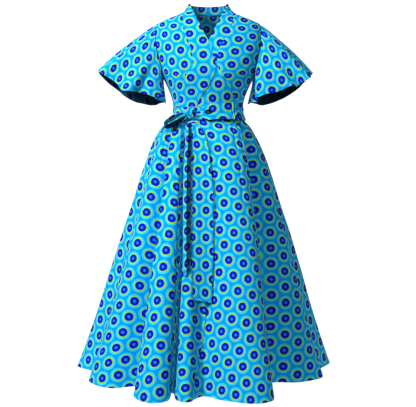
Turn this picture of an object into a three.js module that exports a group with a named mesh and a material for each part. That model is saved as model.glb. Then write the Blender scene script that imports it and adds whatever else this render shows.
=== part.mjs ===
// A wrap dress in printed cotton, standing open as if worn: crossed V-neck bodice with a grown-on
// stand collar, flared short sleeves, a full wrap skirt in soft flares and a sash tied in a bow.
// Millimetres, +Z up, front towards -Y, the wearer's left towards +X. The origin lies between the
// shoulder seams, where a wearer's shoulders carry the dress.
//
// Every piece of cloth is a wall: an outer face worked out from a surface of two parameters, an
// inner face set in along the surface's normal, and a rim between them.
import * as THREE from "three";
import { mergeVertices } from "three/addons/utils/BufferGeometryUtils.js";

// ---- Driving sizes ----
const CLOTH = 2; // wall of the printed cotton
const SASH_CLOTH = 1.6; // wall of the sash
const SEAM = 0.3; // gap between two pieces along their seam
const LAP = 0.6; // air between two pieces that lie on each other
const UNDER = CLOTH + 1; // how far a front's hidden layer lies below the one that covers it

const COLLAR_TOP = 30;
const NECK = -3.5; // height of the neck seam
const SHOULDER = -46; // height of the shoulder point
const UNDERARM = -232;
const WAIST = -365;
const HEM = -1300;

const QUARTER = Math.PI / 2;
const { degToRad, clamp, lerp, smoothstep } = THREE.MathUtils;

// ---- Tables ----
// Level sections of the bodice: half width, depth to the front and back, and how square they are.
const BODICE_SECTIONS = [
  { z: 38, wide: 65, front: 28, back: 57, square: 2.0 },
  { z: 16, wide: 80, front: 41, back: 63, square: 2.0 },
  { z: 2, wide: 89.5, front: 49, back: 67, square: 2.0 },
  { z: -13, wide: 120.5, front: 60, back: 74, square: 1.95 },
  { z: -27, wide: 156, front: 70, back: 81, square: 1.95 },
  { z: -46, wide: 190, front: 82, back: 88, square: 2.0 },
  { z: -80, wide: 198, front: 99, back: 97, square: 2.4 },
  { z: -118, wide: 199, front: 112, back: 103, square: 2.6 },
  { z: -160, wide: 190, front: 123, back: 107, square: 2.6 },
  { z: -215, wide: 173, front: 130, back: 105, square: 2.4 },
  { z: -250, wide: 157, front: 124, back: 99, square: 2.3 },
  { z: -283, wide: 142, front: 113, back: 92, square: 2.2 },
  { z: -320, wide: 129.5, front: 101, back: 83, square: 2.1 },
  { z: -345, wide: 127, front: 97, back: 80, square: 2.05 },
  { z: -365, wide: 127, front: 96, back: 79, square: 2.05 },
];

// How far the armhole's edge lies in front of and behind the shoulder line, level by level.
const ARMHOLE = [
  { z: -46, front: 0, back: 0 },
  { z: -50, front: 11, back: 12 },
  { z: -60, front: 24, back: 27 },
  { z: -80, front: 40, back: 45 },
  { z: -115, front: 54, back: 58 },
  { z: -150, front: 60, back: 62 },
  { z: -190, front: 62, back: 60 },
  { z: -212, front: 54, back: 50 },
  { z: -224, front: 36, back: 34 },
  { z: -230, front: 18, back: 16 },
  { z: -232, front: 0, back: 0 },
];

// Lines on the front, as the distance from the centre line: the neckline down to the crossing,
// then the edge of the right front, which lies on top, and the edge of the left one under it.
const FRONT_LINES = [
  { z: 30, neckline: 66.5 },
  { z: 14, neckline: 60.5 },
  { z: -3, neckline: 53.5 },
  { z: -33, neckline: 40 },
  { z: -63, neckline: 25 },
  { z: -91, neckline: 12 },
];
const TOP_EDGE = [
  ...FRONT_LINES.map(({ z, neckline }) => ({ z, x: -neckline })),
  { z: -118, x: 1.8 },
  { z: -152, x: 12 },
  { z: -199, x: 25 },
  { z: -214, x: 25 },
  { z: -238, x: 16.5 },
  { z: -277, x: -3.5 },
  { z: -309, x: -27 },
  { z: -365, x: -52 },
];
const UNDER_EDGE = [
  ...FRONT_LINES.map(({ z, neckline }) => ({ z, x: neckline })),
  { z: -118, x: -1.8 },
  { z: -152, x: -17 },
  { z: -200, x: -38 },
  { z: -250, x: -58 },
  { z: -300, x: -74 },
  { z: -365, x: -88 },
];
// Shaping seams from the shoulder at the neck, in towards the bust, then out to the waist.
const RIGHT_SEAM = [
  { z: -3, x: -91 },
  { z: -53, x: -91 },
  { z: -77, x: -82.5 },
  { z: -109, x: -72 },
  { z: -138, x: -62.5 },
  { z: -174, x: -55.5 },
  { z: -198, x: -51 },
  { z: -214, x: -61 },
  { z: -240, x: -82 },
  { z: -280, x: -96 },
  { z: -311, x: -103 },
  { z: -365, x: -108 },
];
const LEFT_SEAM = [
  { z: -3, x: 91 },
  { z: -46, x: 86 },
  { z: -90, x: 66 },
  { z: -133, x: 43 },
  { z: -160, x: 34 },
  { z: -190, x: 31 },
  { z: -214, x: 38 },
  { z: -238, x: 56 },
  { z: -262, x: 72 },
  { z: -296, x: 88 },
  { z: -333, x: 101 },
  { z: -365, x: 106 },
];

// The skirt's flares, one row for each crest and each hollow on the way round: where the fold
// leaves the waist, where it meets the hem, both in degrees from the front, and its reach there.
const FLARES = [
  { waist: -92, hem: -91, reach: 488 },
  { waist: -84, hem: -79, reach: 424 },
  { waist: -75, hem: -65, reach: 460 },
  { waist: -66, hem: -51, reach: 434 },
  { waist: -59, hem: -43, reach: 350 },
  { waist: -50, hem: -34, reach: 438 },
  { waist: -44, hem: -24, reach: 470 },
  { waist: -40, hem: -18, reach: 430 },
  { waist: -37, hem: -20, reach: 350 },
  { waist: -33, hem: -14.5, reach: 412 },
  { waist: -25, hem: -8.5, reach: 426 },
  { waist: -10, hem: -2.5, reach: 362 },
  { waist: 10, hem: 7, reach: 408 },
  { waist: 31, hem: 18, reach: 460 },
  { waist: 48, hem: 26.5, reach: 458 },
  { waist: 58, hem: 32, reach: 405 },
  { waist: 64, hem: 44, reach: 306 },
  { waist: 71, hem: 57, reach: 378 },
  { waist: 79, hem: 70, reach: 430 },
  { waist: 88, hem: 83, reach: 412 },
  { waist: 97, hem: 97, reach: 464 },
  { waist: 107, hem: 108, reach: 398 },
  { waist: 119, hem: 121, reach: 456 },
  { waist: 132, hem: 133, reach: 384 },
  { waist: 144, hem: 145, reach: 452 },
  { waist: 156, hem: 156, reach: 378 },
  { waist: 168, hem: 168, reach: 450 },
  { waist: 180, hem: 180, reach: 372 },
  { waist: 192, hem: 191, reach: 452 },
  { waist: 204, hem: 203, reach: 380 },
  { waist: 216, hem: 215, reach: 456 },
  { waist: 229, hem: 227, reach: 388 },
  { waist: 242, hem: 240, reach: 460 },
  { waist: 255, hem: 253, reach: 402 },
];
// How much of the way from the waist's outline to the hem's the skirt has spread at a height, and
// how far it sways to the wearer's right there.
const SPREAD = [
  { z: -365, share: 0, sway: 0 },
  { z: -387, share: 0.024, sway: 3 },
  { z: -401, share: 0.062, sway: 5 },
  { z: -416, share: 0.105, sway: 6.5 },
  { z: -445, share: 0.158, sway: 6 },
  { z: -481, share: 0.212, sway: 4.5 },
  { z: -533, share: 0.272, sway: 2.5 },
  { z: -606, share: 0.345, sway: 1.5 },
  { z: -679, share: 0.413, sway: 0.5 },
  { z: -827, share: 0.554, sway: -1 },
  { z: -939, share: 0.655, sway: -1 },
  { z: -1164, share: 0.862, sway: 0 },
  { z: -1300, share: 1, sway: 0 },
];
// Seams of the skirt, as places in the table of flares (a whole number is a row).
const SKIRT_SEAMS = { right: 1, left: 19, back: 27 };
const WRAP_EDGE = [
  { z: -365, place: 10.7 },
  { z: -990, place: 11.2 },
  { z: -1143, place: 10.9 },
  { z: -1218, place: 10.5 },
  { z: -1300, place: 10.3 },
];
const WRAP_UNDERLAP = 1.1; // how far the left front runs on under the right one, in rows

// The sleeves: the outer tip and inner heel of the hem, and its waves as a turn from the tip by
// way of the front, with how far each crest or hollow stands out and hangs down.
const SLEEVE_DEPTH = 104; // half the hem's depth from front to back
const SLEEVE_BACK_DROP = 24; // how much lower the hem hangs behind
const SLEEVES = [
  {
    name: "sleeve_right",
    side: -1,
    tip: { x: 400, z: -208 },
    heel: { x: 156, z: -322 },
    waves: [
      { turn: 0, out: 0, drop: 0 },
      { turn: 24, out: -7, drop: 3 },
      { turn: 45, out: 8, drop: 7 },
      { turn: 60, out: -12, drop: 11 },
      { turn: 73, out: -9, drop: 18 },
      { turn: 84, out: 13, drop: 32 },
      { turn: 96, out: 4, drop: 15 },
      { turn: 110, out: -7, drop: 8 },
      { turn: 131, out: 8, drop: 1 },
      { turn: 157, out: -4, drop: -8 },
      { turn: 180, out: 0, drop: 2 },
      { turn: 204, out: 5, drop: -10 },
      { turn: 227, out: -4, drop: 2 },
      { turn: 249, out: 12, drop: 13 },
      { turn: 272, out: -5, drop: 26 },
      { turn: 295, out: 13, drop: 14 },
      { turn: 317, out: -3, drop: 11 },
      { turn: 339, out: 6, drop: 3 },
    ],
  },
  {
    name: "sleeve_left",
    side: 1,
    tip: { x: 378, z: -219 },
    heel: { x: 148, z: -326 },
    waves: [
      { turn: 0, out: 0, drop: 0 },
      { turn: 24, out: -5, drop: 8 },
      { turn: 44, out: 7, drop: 15 },
      { turn: 60, out: -5, drop: 16 },
      { turn: 70, out: -3, drop: 22 },
      { turn: 82, out: 8, drop: 13 },
      { turn: 101, out: -5, drop: 4 },
      { turn: 124, out: 7, drop: -3 },
      { turn: 146, out: -5, drop: -8 },
      { turn: 164, out: 2, drop: -6 },
      { turn: 184, out: 1, drop: 0 },
      { turn: 208, out: 5, drop: -13 },
      { turn: 231, out: -4, drop: -1 },
      { turn: 254, out: 10, drop: 10 },
      { turn: 276, out: -5, drop: 15 },
      { turn: 298, out: 11, drop: 10 },
      { turn: 319, out: -4, drop: 4 },
      { turn: 340, out: 5, drop: -2 },
    ],
  },
];

// The sash: a band round the waist, a knot on the right front, two loops and two hanging ends.
const BAND = { top: -343, bottom: -388 };
const KNOT = { x: -54, z: -365, wide: 16, deep: 12, high: 22 };
const RIGHT_LOOP = { reach: 84, thick: 9, narrow: 10, wide: 24 };
const LEFT_LOOP = { reach: 152, thick: 7, narrow: 9, wide: 30, rise: 9 };
// Hanging ends by height: left and right edge, and how far they stand off the skirt.
const LONG_END = [
  { z: -402, left: -58, right: -40, off: 5 },
  { z: -430, left: -52, right: -18, off: 2.8 },
  { z: -481, left: -53, right: -2, off: 2 },
  { z: -561, left: -53, right: 8, off: 2 },
  { z: -642, left: -53, right: 16, off: 2.4 },
  { z: -840, left: -53, right: 16, off: 3.4 },
  { z: -960, left: -51, right: 11, off: 4 },
  { z: -994, left: -50, right: 10, off: 4 },
];
const SHORT_END = [
  { z: -402, left: -76, right: -61, off: 4 },
  { z: -450, left: -78, right: -58, off: 1.8 },
  { z: -560, left: -85, right: -58, off: 1.8 },
  { z: -700, left: -86, right: -58, off: 1.8 },
  { z: -850, left: -84, right: -58, off: 1.8 },
  { z: -905, left: -82, right: -60, off: 1.8 },
];

// ---- Curves through tables ----
// A smooth curve through a table that never overshoots a row: column `name` against column `by`.
function column(rows, by, name) {
  const sorted = [...rows].sort((a, b) => a[by] - b[by]);
  const x = sorted.map((row) => row[by]);
  const y = sorted.map((row) => row[name]);
  const rise = x.slice(1).map((next, i) => (y[i + 1] - y[i]) / (next - x[i]));
  const slope = y.map((_, i) => {
    if (i === 0) return rise[0];
    if (i === y.length - 1) return rise[i - 1];
    return rise[i - 1] * rise[i] <= 0 ? 0 : 2 / (1 / rise[i - 1] + 1 / rise[i]);
  });
  return (at) => {
    const v = clamp(at, x[0], x.at(-1));
    let i = 0;
    while (i < x.length - 2 && v > x[i + 1]) i++;
    const h = x[i + 1] - x[i];
    const t = (v - x[i]) / h;
    const s = 1 - t;
    return (
      y[i] * s * s * (1 + 2 * t) +
      y[i + 1] * t * t * (3 - 2 * t) +
      h * s * t * (slope[i] * s - slope[i + 1] * t)
    );
  };
}

// A smooth closed curve through points, by place: whole numbers are the points themselves.
function ringThrough(points) {
  const count = points.length;
  const at = (i) => points[((i % count) + count) % count];
  return (place) => {
    const i = Math.floor(place);
    const t = place - i;
    const [a, b, c, d] = [at(i - 1), at(i), at(i + 1), at(i + 2)];
    return b.map(
      (_, k) =>
        0.5 *
        (2 * b[k] +
          (c[k] - a[k]) * t +
          (2 * a[k] - 5 * b[k] + 4 * c[k] - d[k]) * t * t +
          (3 * b[k] - a[k] - 3 * c[k] + d[k]) * t ** 3),
    );
  };
}

const power = (value, exponent) => Math.sign(value) * Math.abs(value) ** exponent;
const ramp = (value, from, to) => smoothstep(value, Math.min(from, to), Math.max(from, to));
const steps = (from, to, count) =>
  Array.from({ length: count + 1 }, (_, i) => lerp(from, to, i / count));

// ---- Walls ----
// A closed wall from an outer face: surface(row, col) gives its points, and the normal is the
// cross product of the steps along the columns and the rows. `inside` and `outside` say how far
// the two faces lie from the surface. A closed wall joins its last column to its first.
function wall(surface, rows, cols, { inside = CLOTH, outside = 0, closed = false } = {}) {
  const rowStep = (rows.at(-1) - rows[0]) * 1e-4;
  const colStep = (cols.at(-1) - cols[0]) * 1e-4;
  const faces = { out: [], in: [] };
  for (const row of rows) {
    for (const col of cols) {
      const point = surface(row, col);
      const along = surface(row, col + colStep).sub(surface(row, col - colStep));
      const up = surface(row + rowStep, col).sub(surface(row - rowStep, col));
      const normal = along.cross(up).normalize();
      if (rowStep < 0 !== colStep < 0) normal.negate();
      faces.out.push(point.clone().addScaledVector(normal, outside));
      faces.in.push(point.addScaledVector(normal, -inside));
    }
  }
  const wide = cols.length;
  const inner = faces.out.length;
  const index = [];
  const quad = (a, b, c, d) => index.push(a, b, c, a, c, d);
  const lastCol = closed ? wide : wide - 1;
  for (let i = 0; i < rows.length - 1; i++) {
    for (let j = 0; j < lastCol; j++) {
      const a = i * wide + j;
      const b = i * wide + ((j + 1) % wide);
      quad(a, b, b + wide, a + wide);
      quad(inner + a, inner + a + wide, inner + b + wide, inner + b);
    }
  }
  for (let j = 0; j < lastCol; j++) {
    const next = (j + 1) % wide;
    const end = (rows.length - 1) * wide;
    quad(j, inner + j, inner + next, next);
    quad(end + j, end + next, inner + end + next, inner + end + j);
  }
  for (let i = 0; !closed && i < rows.length - 1; i++) {
    const a = i * wide;
    const b = a + wide - 1;
    quad(a, a + wide, inner + a + wide, inner + a);
    quad(b, inner + b, inner + b + wide, b + wide);
  }
  const points = [...faces.out, ...faces.in];
  if (signedVolume(points, index) < 0) index.reverse();
  const geometry = new THREE.BufferGeometry().setFromPoints(points);
  geometry.setIndex(index);
  return geometry;
}

function signedVolume(points, index) {
  let six = 0;
  for (let i = 0; i < index.length; i += 3) {
    const [a, b, c] = [points[index[i]], points[index[i + 1]], points[index[i + 2]]];
    six += a.dot(b.clone().cross(c));
  }
  return six / 6;
}

// ---- The bodice ----
const section = Object.fromEntries(
  ["wide", "front", "back", "square"].map((name) => [name, column(BODICE_SECTIONS, "z", name)]),
);

// A point of the bodice's outline at height z: a turn of 0 is the front's centre and a quarter
// turn the wearer's left side. Each level is a superellipse with its own front and back depth.
function bodice(turn, z) {
  const exponent = 2 / section.square(z);
  const depth = Math.cos(turn) > 0 ? section.front(z) : section.back(z);
  return new THREE.Vector3(
    section.wide(z) * power(Math.sin(turn), exponent),
    -depth * power(Math.cos(turn), exponent),
    z,
  );
}

// The turn at which the front's outline is x from the centre.
const turnAtX = (x, z) =>
  Math.asin(clamp(power(x / section.wide(z), section.square(z) / 2), -1, 1));

const scye = {
  front: column(ARMHOLE, "z", "front"),
  back: column(ARMHOLE, "z", "back"),
};
// The turn of the armhole's edge, or of the side or shoulder seam where there is no armhole.
function sideTurn(face, z) {
  if (z >= SHOULDER || z <= UNDERARM) return QUARTER;
  const share = scye[face](z) / section[face](z);
  const fromFront = Math.acos(clamp(share ** (section.square(z) / 2), 0, 1));
  return face === "front" ? fromFront : Math.PI - fromFront;
}

// A turn moved along the outline by a distance.
function nudged(turn, z, distance) {
  const speed = bodice(turn + 1e-4, z).distanceTo(bodice(turn - 1e-4, z)) / 2e-4;
  return turn + distance / Math.max(speed, 20);
}

const topEdge = column(TOP_EDGE, "z", "x");
const underEdge = column(UNDER_EDGE, "z", "x");
const rightSeam = column(RIGHT_SEAM, "z", "x");
const leftSeam = column(LEFT_SEAM, "z", "x");

// The left front sinks under the right one near its edge and beyond it.
function leftFront(turn, z) {
  const point = bodice(turn, z);
  const sunk = UNDER * (1 - ramp(point.x - topEdge(z), 7, 32));
  const out = new THREE.Vector3(point.x / section.wide(z) ** 2, point.y / section.front(z) ** 2, 0);
  return point.addScaledVector(out.normalize(), -sunk);
}

// A bodice panel between two lines, each given as a turn at a height.
function panel(form, from, to, levels, columns) {
  const surface = (z, share) =>
    form(lerp(nudged(from(z), z, SEAM / 2), nudged(to(z), z, -SEAM / 2), share), z);
  return wall(surface, levels, steps(0, 1, columns));
}

// The neck seam: the collar stops above it, the back just below it and the side fronts under that.
const NECK_LEVELS = [NECK + SEAM / 2, NECK - SEAM / 2, NECK - 1.5 * SEAM];
const LEVELS = [
  COLLAR_TOP, 20, 8, ...NECK_LEVELS, -13, -24, -35, SHOULDER, -50, -60, -78, -98, -118, -140, -160, -180,
  -198, -213, -224, -230, UNDERARM, -246, -264, -284, -304, -324, -345, WAIST + SEAM / 2,
];
const below = (top) => LEVELS.filter((z) => z <= top);
const sidePanelTop = below(NECK_LEVELS[2]);
// Above the side front the centre front runs on to the shoulder line as the collar's end.
const seamTurn = (seam, side) => (z) => (z > NECK ? side * QUARTER : turnAtX(seam(z), z));

function bodicePieces() {
  const edge = (line) => (z) => turnAtX(line(z), z);
  return {
    front_right_centre: panel(bodice, seamTurn(rightSeam, -1), edge(topEdge), LEVELS, 6),
    front_right_side: panel(
      bodice,
      (z) => -sideTurn("front", z),
      seamTurn(rightSeam, -1),
      sidePanelTop,
      6,
    ),
    front_left_centre: panel(leftFront, edge(underEdge), seamTurn(leftSeam, 1), LEVELS, 8),
    front_left_side: panel(
      leftFront,
      seamTurn(leftSeam, 1),
      (z) => sideTurn("front", z),
      sidePanelTop,
      6,
    ),
    back: panel(
      bodice,
      (z) => sideTurn("back", z),
      (z) => 2 * Math.PI - sideTurn("back", z),
      below(NECK_LEVELS[1]),
      16,
    ),
    collar: panel(
      bodice,
      () => QUARTER,
      () => 3 * QUARTER,
      LEVELS.filter((z) => z >= NECK_LEVELS[0]),
      14,
    ),
  };
}

// ---- The sleeves ----
// The armhole as a closed line on one side, evenly spaced by length: a turn of 0 is the shoulder
// point, a quarter turn the front, and half a turn the underarm.
function armholeLine(side) {
  const heights = LEVELS.filter((z) => z <= SHOULDER && z >= UNDERARM);
  const half = (face) => {
    const points = heights.map((z) => standOff(side * sideTurn(face, z), z));
    const lengths = [0];
    points.slice(1).forEach((p, i) => lengths.push(lengths[i] + p.distanceTo(points[i])));
    return (share) => {
      const want = clamp(share, 0, 1) * lengths.at(-1);
      let i = 0;
      while (i < points.length - 2 && want > lengths[i + 1]) i++;
      return points[i]
        .clone()
        .lerp(points[i + 1], (want - lengths[i]) / (lengths[i + 1] - lengths[i]));
    };
  };
  const [front, back] = [half("front"), half("back")];
  return (turn) => {
    const share = (((turn / Math.PI) % 2) + 2) % 2;
    return share <= 1 ? front(share) : back(2 - share);
  };
}

// A point just clear of the bodice's outer face, for the middle of a wall that is sewn to it.
function standOff(turn, z) {
  const along = bodice(turn + 1e-3, z).sub(bodice(turn - 1e-3, z));
  const up = bodice(turn, z + 0.5).sub(bodice(turn, z - 0.5));
  const out = along.cross(up).normalize();
  return bodice(turn, z).addScaledVector(out, CLOTH / 2 + SEAM + 0.25);
}

function sleeve({ side, tip, heel, waves }) {
  const start = armholeLine(side);
  const centre = new THREE.Vector3((side * (tip.x + heel.x)) / 2, 0, (tip.z + heel.z) / 2);
  const long = new THREE.Vector3(side * (tip.x - heel.x), 0, tip.z - heel.z).multiplyScalar(0.5);
  const wave = ringThrough(waves.map(({ turn, out, drop }) => [turn, out, drop]));
  const placeOf = (degrees) => {
    const next = waves.findIndex((row) => row.turn > degrees);
    const i = (next < 0 ? waves.length : next) - 1;
    const end = next < 0 ? 360 : waves[next].turn;
    return i + (degrees - waves[i].turn) / (end - waves[i].turn);
  };
  const surface = (share, turn) => {
    const round = ((turn % (2 * Math.PI)) + 2 * Math.PI) % (2 * Math.PI);
    const [, out, drop] = wave(placeOf(THREE.MathUtils.radToDeg(round)));
    const [c, s] = [Math.cos(turn), Math.sin(turn)];
    const hem = centre
      .clone()
      .addScaledVector(long, power(c, 0.8))
      .add(new THREE.Vector3(0, -SLEEVE_DEPTH * power(s, 0.8), -SLEEVE_BACK_DROP * Math.max(0, -s)));
    const outward = long.clone().normalize().multiplyScalar(c);
    outward.y = -s;
    const full = 9 * Math.sin(Math.PI * share) * (0.55 + 0.45 * c);
    const point = start(turn).lerp(hem, share);
    point.addScaledVector(outward, out * power(share, 1.4) + full);
    point.z -= drop * share ** 2;
    return point;
  };
  const rows = [0, 0.12, 0.27, 0.44, 0.62, 0.81, 1];
  const cols = steps(0, 2 * Math.PI, 56).slice(0, -1);
  return wall(surface, rows, cols, { inside: CLOTH / 2, outside: CLOTH / 2, closed: true });
}

// ---- The skirt ----
// The skirt's fold lines run straight down from the waist's outline to the hem's: a point is
// waist + (hem - waist) * spread(height).
const spread = column(SPREAD, "z", "share");
const sway = column(SPREAD, "z", "sway");
const wrapEdge = column(WRAP_EDGE, "z", "place");
const waistTurn = ringThrough(
  FLARES.map(({ waist }, i) => [degToRad(waist - (360 * i) / FLARES.length)]),
);
const hemLine = ringThrough(
  FLARES.map(({ hem, reach }) => [
    reach * Math.sin(degToRad(hem)),
    -reach * Math.cos(degToRad(hem)),
  ]),
);
function skirt(z, place) {
  const turn = waistTurn(place)[0] + (2 * Math.PI * place) / FLARES.length;
  const waist = bodice(turn, WAIST);
  const [x, y] = hemLine(place);
  const point = new THREE.Vector3(x, y, WAIST).sub(waist).multiplyScalar(spread(z)).add(waist);
  return new THREE.Vector3(point.x - sway(z), point.y, z);
}

// A place moved along the skirt's outline by a distance.
function placeNudged(z, place, distance) {
  const speed = skirt(z, place + 1e-3).distanceTo(skirt(z, place - 1e-3)) / 2e-3;
  return place + distance / speed;
}

// The left front of the skirt sinks under the right one from a little outside the wrap's edge.
function leftSkirt(z, place) {
  const d = 1e-3;
  const along = skirt(z, place + d).sub(skirt(z, place - d));
  const up = skirt(z + d, place).sub(skirt(z - d, place));
  const out = along.cross(up).normalize();
  const past = place - wrapEdge(z);
  return skirt(z, place).addScaledVector(out, -UNDER * (1 - ramp(past, 0.08, 0.6)));
}

const SKIRT_LEVELS = [
  WAIST - SEAM / 2, -390, -420, -455, -500, -560, -650, -780, -930, -1110, HEM,
];
function skirtPieces() {
  const { right, left, back } = SKIRT_SEAMS;
  const round = FLARES.length;
  const piece = (form, from, to, count) => {
    const surface = (z, share) => {
      const [a, b] = [from(z), to(z)];
      return form(z, lerp(placeNudged(z, a, SEAM / 2), placeNudged(z, b, -SEAM / 2), share));
    };
    return wall(surface, SKIRT_LEVELS, steps(0, 1, count));
  };
  return {
    skirt_front_right: piece(skirt, () => right, wrapEdge, 32),
    skirt_front_left: piece(leftSkirt, (z) => wrapEdge(z) - WRAP_UNDERLAP, () => left, 30),
    skirt_back_left: piece(skirt, () => left, () => back, 26),
    skirt_back_right: piece(skirt, () => back, () => round + right, 26),
  };
}

// ---- The sash ----
// The outline that the sash lies on: the bodice above the waist seam, the skirt just below it.
function waistForm(turn, z) {
  const flare = 385 * spread(z) + 2.6 * ramp(-z, -WAIST, -WAIST + 8);
  const point = bodice(turn, Math.max(z, WAIST)).setZ(z);
  point.addScaledVector(new THREE.Vector3(point.x, point.y, 0).normalize(), flare);
  return new THREE.Vector3(point.x - sway(z), point.y, z);
}
// The level direction straight out of the waist at a turn.
function outAt(turn) {
  const along = bodice(turn + 1e-3, WAIST).sub(bodice(turn - 1e-3, WAIST));
  return new THREE.Vector3(along.y, -along.x, 0).normalize();
}
const movedOut = (turn, z, distance) => waistForm(turn, z).addScaledVector(outAt(turn), distance);
// The turn at a distance round the waist from the knot, positive to the wearer's left.
const KNOT_TURN = turnAtX(KNOT.x, WAIST);
const waistRun = [];
for (const turn of steps(-QUARTER, 2 * QUARTER, 120)) {
  const last = waistRun.at(-1);
  const step = last ? bodice(turn, WAIST).distanceTo(bodice(last.turn, WAIST)) : 0;
  waistRun.push({ turn, run: (last?.run ?? 0) + step });
}
const runAt = column(waistRun, "turn", "run");
const turnAtRun = column(waistRun, "run", "turn");
const turnFromKnot = (distance) => turnAtRun(runAt(KNOT_TURN) + distance);
const SASH_OFF = LAP + SASH_CLOTH; // the band's outer face

function band() {
  const rows = steps(BAND.top, BAND.bottom, 4);
  const cols = steps(0, 2 * Math.PI, 48).slice(0, -1);
  const surface = (z, turn) => movedOut(turn, z, SASH_OFF);
  return wall(surface, rows, cols, { inside: SASH_CLOTH, closed: true });
}

// A point of the skirt's front at a given x, found by halving between two places.
function skirtFrontAt(x, z) {
  let [low, high] = [7, 15];
  for (let i = 0; i < 40; i++) {
    const middle = (low + high) / 2;
    if (skirt(z, middle).x < x) low = middle;
    else high = middle;
  }
  return skirt(z, low).y;
}

// The knot: a rounded lump, pinched at the top and the foot where the cloth is drawn through.
const KNOT_OFF = SASH_OFF + 2 * LAP + KNOT.deep;
function knot() {
  const sphere = new THREE.SphereGeometry(1, 16, 10);
  const out = outAt(KNOT_TURN);
  const along = new THREE.Vector3(-out.y, out.x, 0);
  const centre = movedOut(KNOT_TURN, KNOT.z - KNOT.high / 3, KNOT_OFF);
  const points = [];
  const position = sphere.getAttribute("position");
  for (let i = 0; i < position.count; i++) {
    const [x, y, z] = [position.getX(i), position.getY(i), position.getZ(i)];
    const pinch = 1 - 0.25 * y * y;
    points.push(
      centre
        .clone()
        .addScaledVector(along, KNOT.wide * power(x, 0.8) * pinch)
        .addScaledVector(out, KNOT.deep * power(z, 0.8) * pinch)
        .setZ(KNOT.z + KNOT.high * power(y, 0.8)),
    );
  }
  const geometry = new THREE.BufferGeometry().setFromPoints(points);
  geometry.setIndex([...sphere.index.array]);
  const merged = mergeVertices(geometry, 1e-4);
  if (merged.index.count === 0) throw new Error("the knot lost its faces");
  return merged;
}

// The left loop lies along the waist: out from the knot in front, round its end and back behind.
function leftLoop() {
  const { reach, thick, narrow, wide, rise } = LEFT_LOOP;
  const root = KNOT.wide + SEAM + 1;
  const flat = reach - thick - root; // each layer's length before the round end begins
  const bend = Math.PI * thick;
  const surface = (along, across) => {
    // An arc about the middle of the loop: `out` runs away from the knot, `lift` through the loop.
    const past = clamp(along, flat, flat + bend) - flat;
    const out = (along > flat + bend ? 2 * flat + bend - along : Math.min(along, flat)) / flat;
    const apart = thick * (0.35 + 0.65 * ramp(out, 0, 0.6));
    const lift = apart * Math.cos(past / thick);
    const turn = turnFromKnot(root + flat * out + thick * Math.sin(past / thick));
    const half = lerp(narrow, wide, ramp(out, 0, 0.35));
    const z = KNOT.z + rise * ramp(out, 0, 0.6) + across * half;
    const behind = SASH_OFF + LAP + SASH_CLOTH / 2 + 0.3;
    const crown = 3 * (1 - across * across) * Math.max(0, lift / thick) * ramp(out, 0, 0.5);
    return movedOut(turn, z, behind + thick + lift + crown);
  };
  const rows = [
    ...steps(0, flat, 9),
    ...steps(flat, flat + bend, 9).slice(1),
    ...steps(flat + bend, 2 * flat + bend, 9).slice(1),
  ];
  return wall(surface, rows, steps(-1, 1, 5), {
    inside: SASH_CLOTH / 2,
    outside: SASH_CLOTH / 2,
  });
}

// The right loop droops over the hip with its mouth turned to the front.
function rightLoop() {
  const along = new THREE.Vector3(-0.88, 0.08, -0.47).normalize();
  const front = new THREE.Vector3(-0.2, -0.62, 0.75);
  front.addScaledVector(along, -front.dot(along)).normalize();
  const across = along.clone().cross(front).normalize();
  const root = movedOut(KNOT_TURN, KNOT.z + 4, KNOT_OFF + 4).addScaledVector(along, KNOT.wide + 7);
  const { reach, thick, narrow, wide } = RIGHT_LOOP;
  const surface = (share, side) => {
    const swing = 2 * Math.PI * share;
    const away = (1 - Math.cos(swing)) / 2;
    const half = lerp(narrow, wide, ramp(away, 0, 0.5)) * (1 - 0.15 * ramp(away, 0.7, 1));
    return root
      .clone()
      .addScaledVector(along, reach * away)
      .addScaledVector(front, thick * Math.sin(swing) + 2.5 * Math.cos(swing / 2))
      .addScaledVector(across, side * half);
  };
  return wall(surface, steps(0, 1, 22), steps(-1, 1, 4), {
    inside: SASH_CLOTH / 2,
    outside: SASH_CLOTH / 2,
  });
}

// A hanging end lies on the skirt's highest points across its width, with a soft ridge along it.
function hangingEnd(rows, ridge, slant) {
  const [left, right, off] = ["left", "right", "off"].map((name) => column(rows, "z", name));
  const [top, foot] = [rows[0].z, rows.at(-1).z];
  const bed = (z) => {
    const [a, b] = [left(z), right(z)];
    const [ya, yb] = [skirtFrontAt(a, z), skirtFrontAt(b, z)];
    const lift = steps(0, 1, 12).map((t) => lerp(ya, yb, t) - skirtFrontAt(lerp(a, b, t), z));
    return { a, b, ya, yb, lift: Math.max(0, ...lift) };
  };
  const surface = (drop, share) => {
    const z = top + (foot - top) * drop;
    const { a, b, ya, yb, lift } = bed(z);
    const y = lerp(ya, yb, share) - lift - off(z) - ridge * power(1 - Math.abs(2 * share - 1), 1.3);
    return new THREE.Vector3(lerp(a, b, share), y, z - slant * (share - 0.5) * drop ** 4);
  };
  return wall(surface, steps(0, 1, 18), steps(0, 1, 6), {
    inside: SASH_CLOTH / 2,
    outside: SASH_CLOTH / 2,
  });
}

// ---- The dress ----
const cotton = new THREE.MeshStandardMaterial({ color: 0x0c8fe0, roughness: 0.85, metalness: 0 });
const sashCotton = new THREE.MeshStandardMaterial({ color: 0x0a84d6, roughness: 0.85, metalness: 0 });

const dress = new THREE.Group();
function add(pieces, material) {
  for (const [name, geometry] of Object.entries(pieces)) {
    const mesh = new THREE.Mesh(geometry, material.clone());
    mesh.name = name;
    dress.add(mesh);
  }
}
add(bodicePieces(), cotton);
add(Object.fromEntries(SLEEVES.map((row) => [row.name, sleeve(row)])), cotton);
add(skirtPieces(), cotton);
add(
  {
    sash_band: band(),
    sash_knot: knot(),
    sash_loop_left: leftLoop(),
    sash_loop_right: rightLoop(),
    sash_end_long: hangingEnd(LONG_END, 3, 14),
    sash_end_short: hangingEnd(SHORT_END, 6, -18),
  },
  sashCotton,
);

export default dress;
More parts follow.
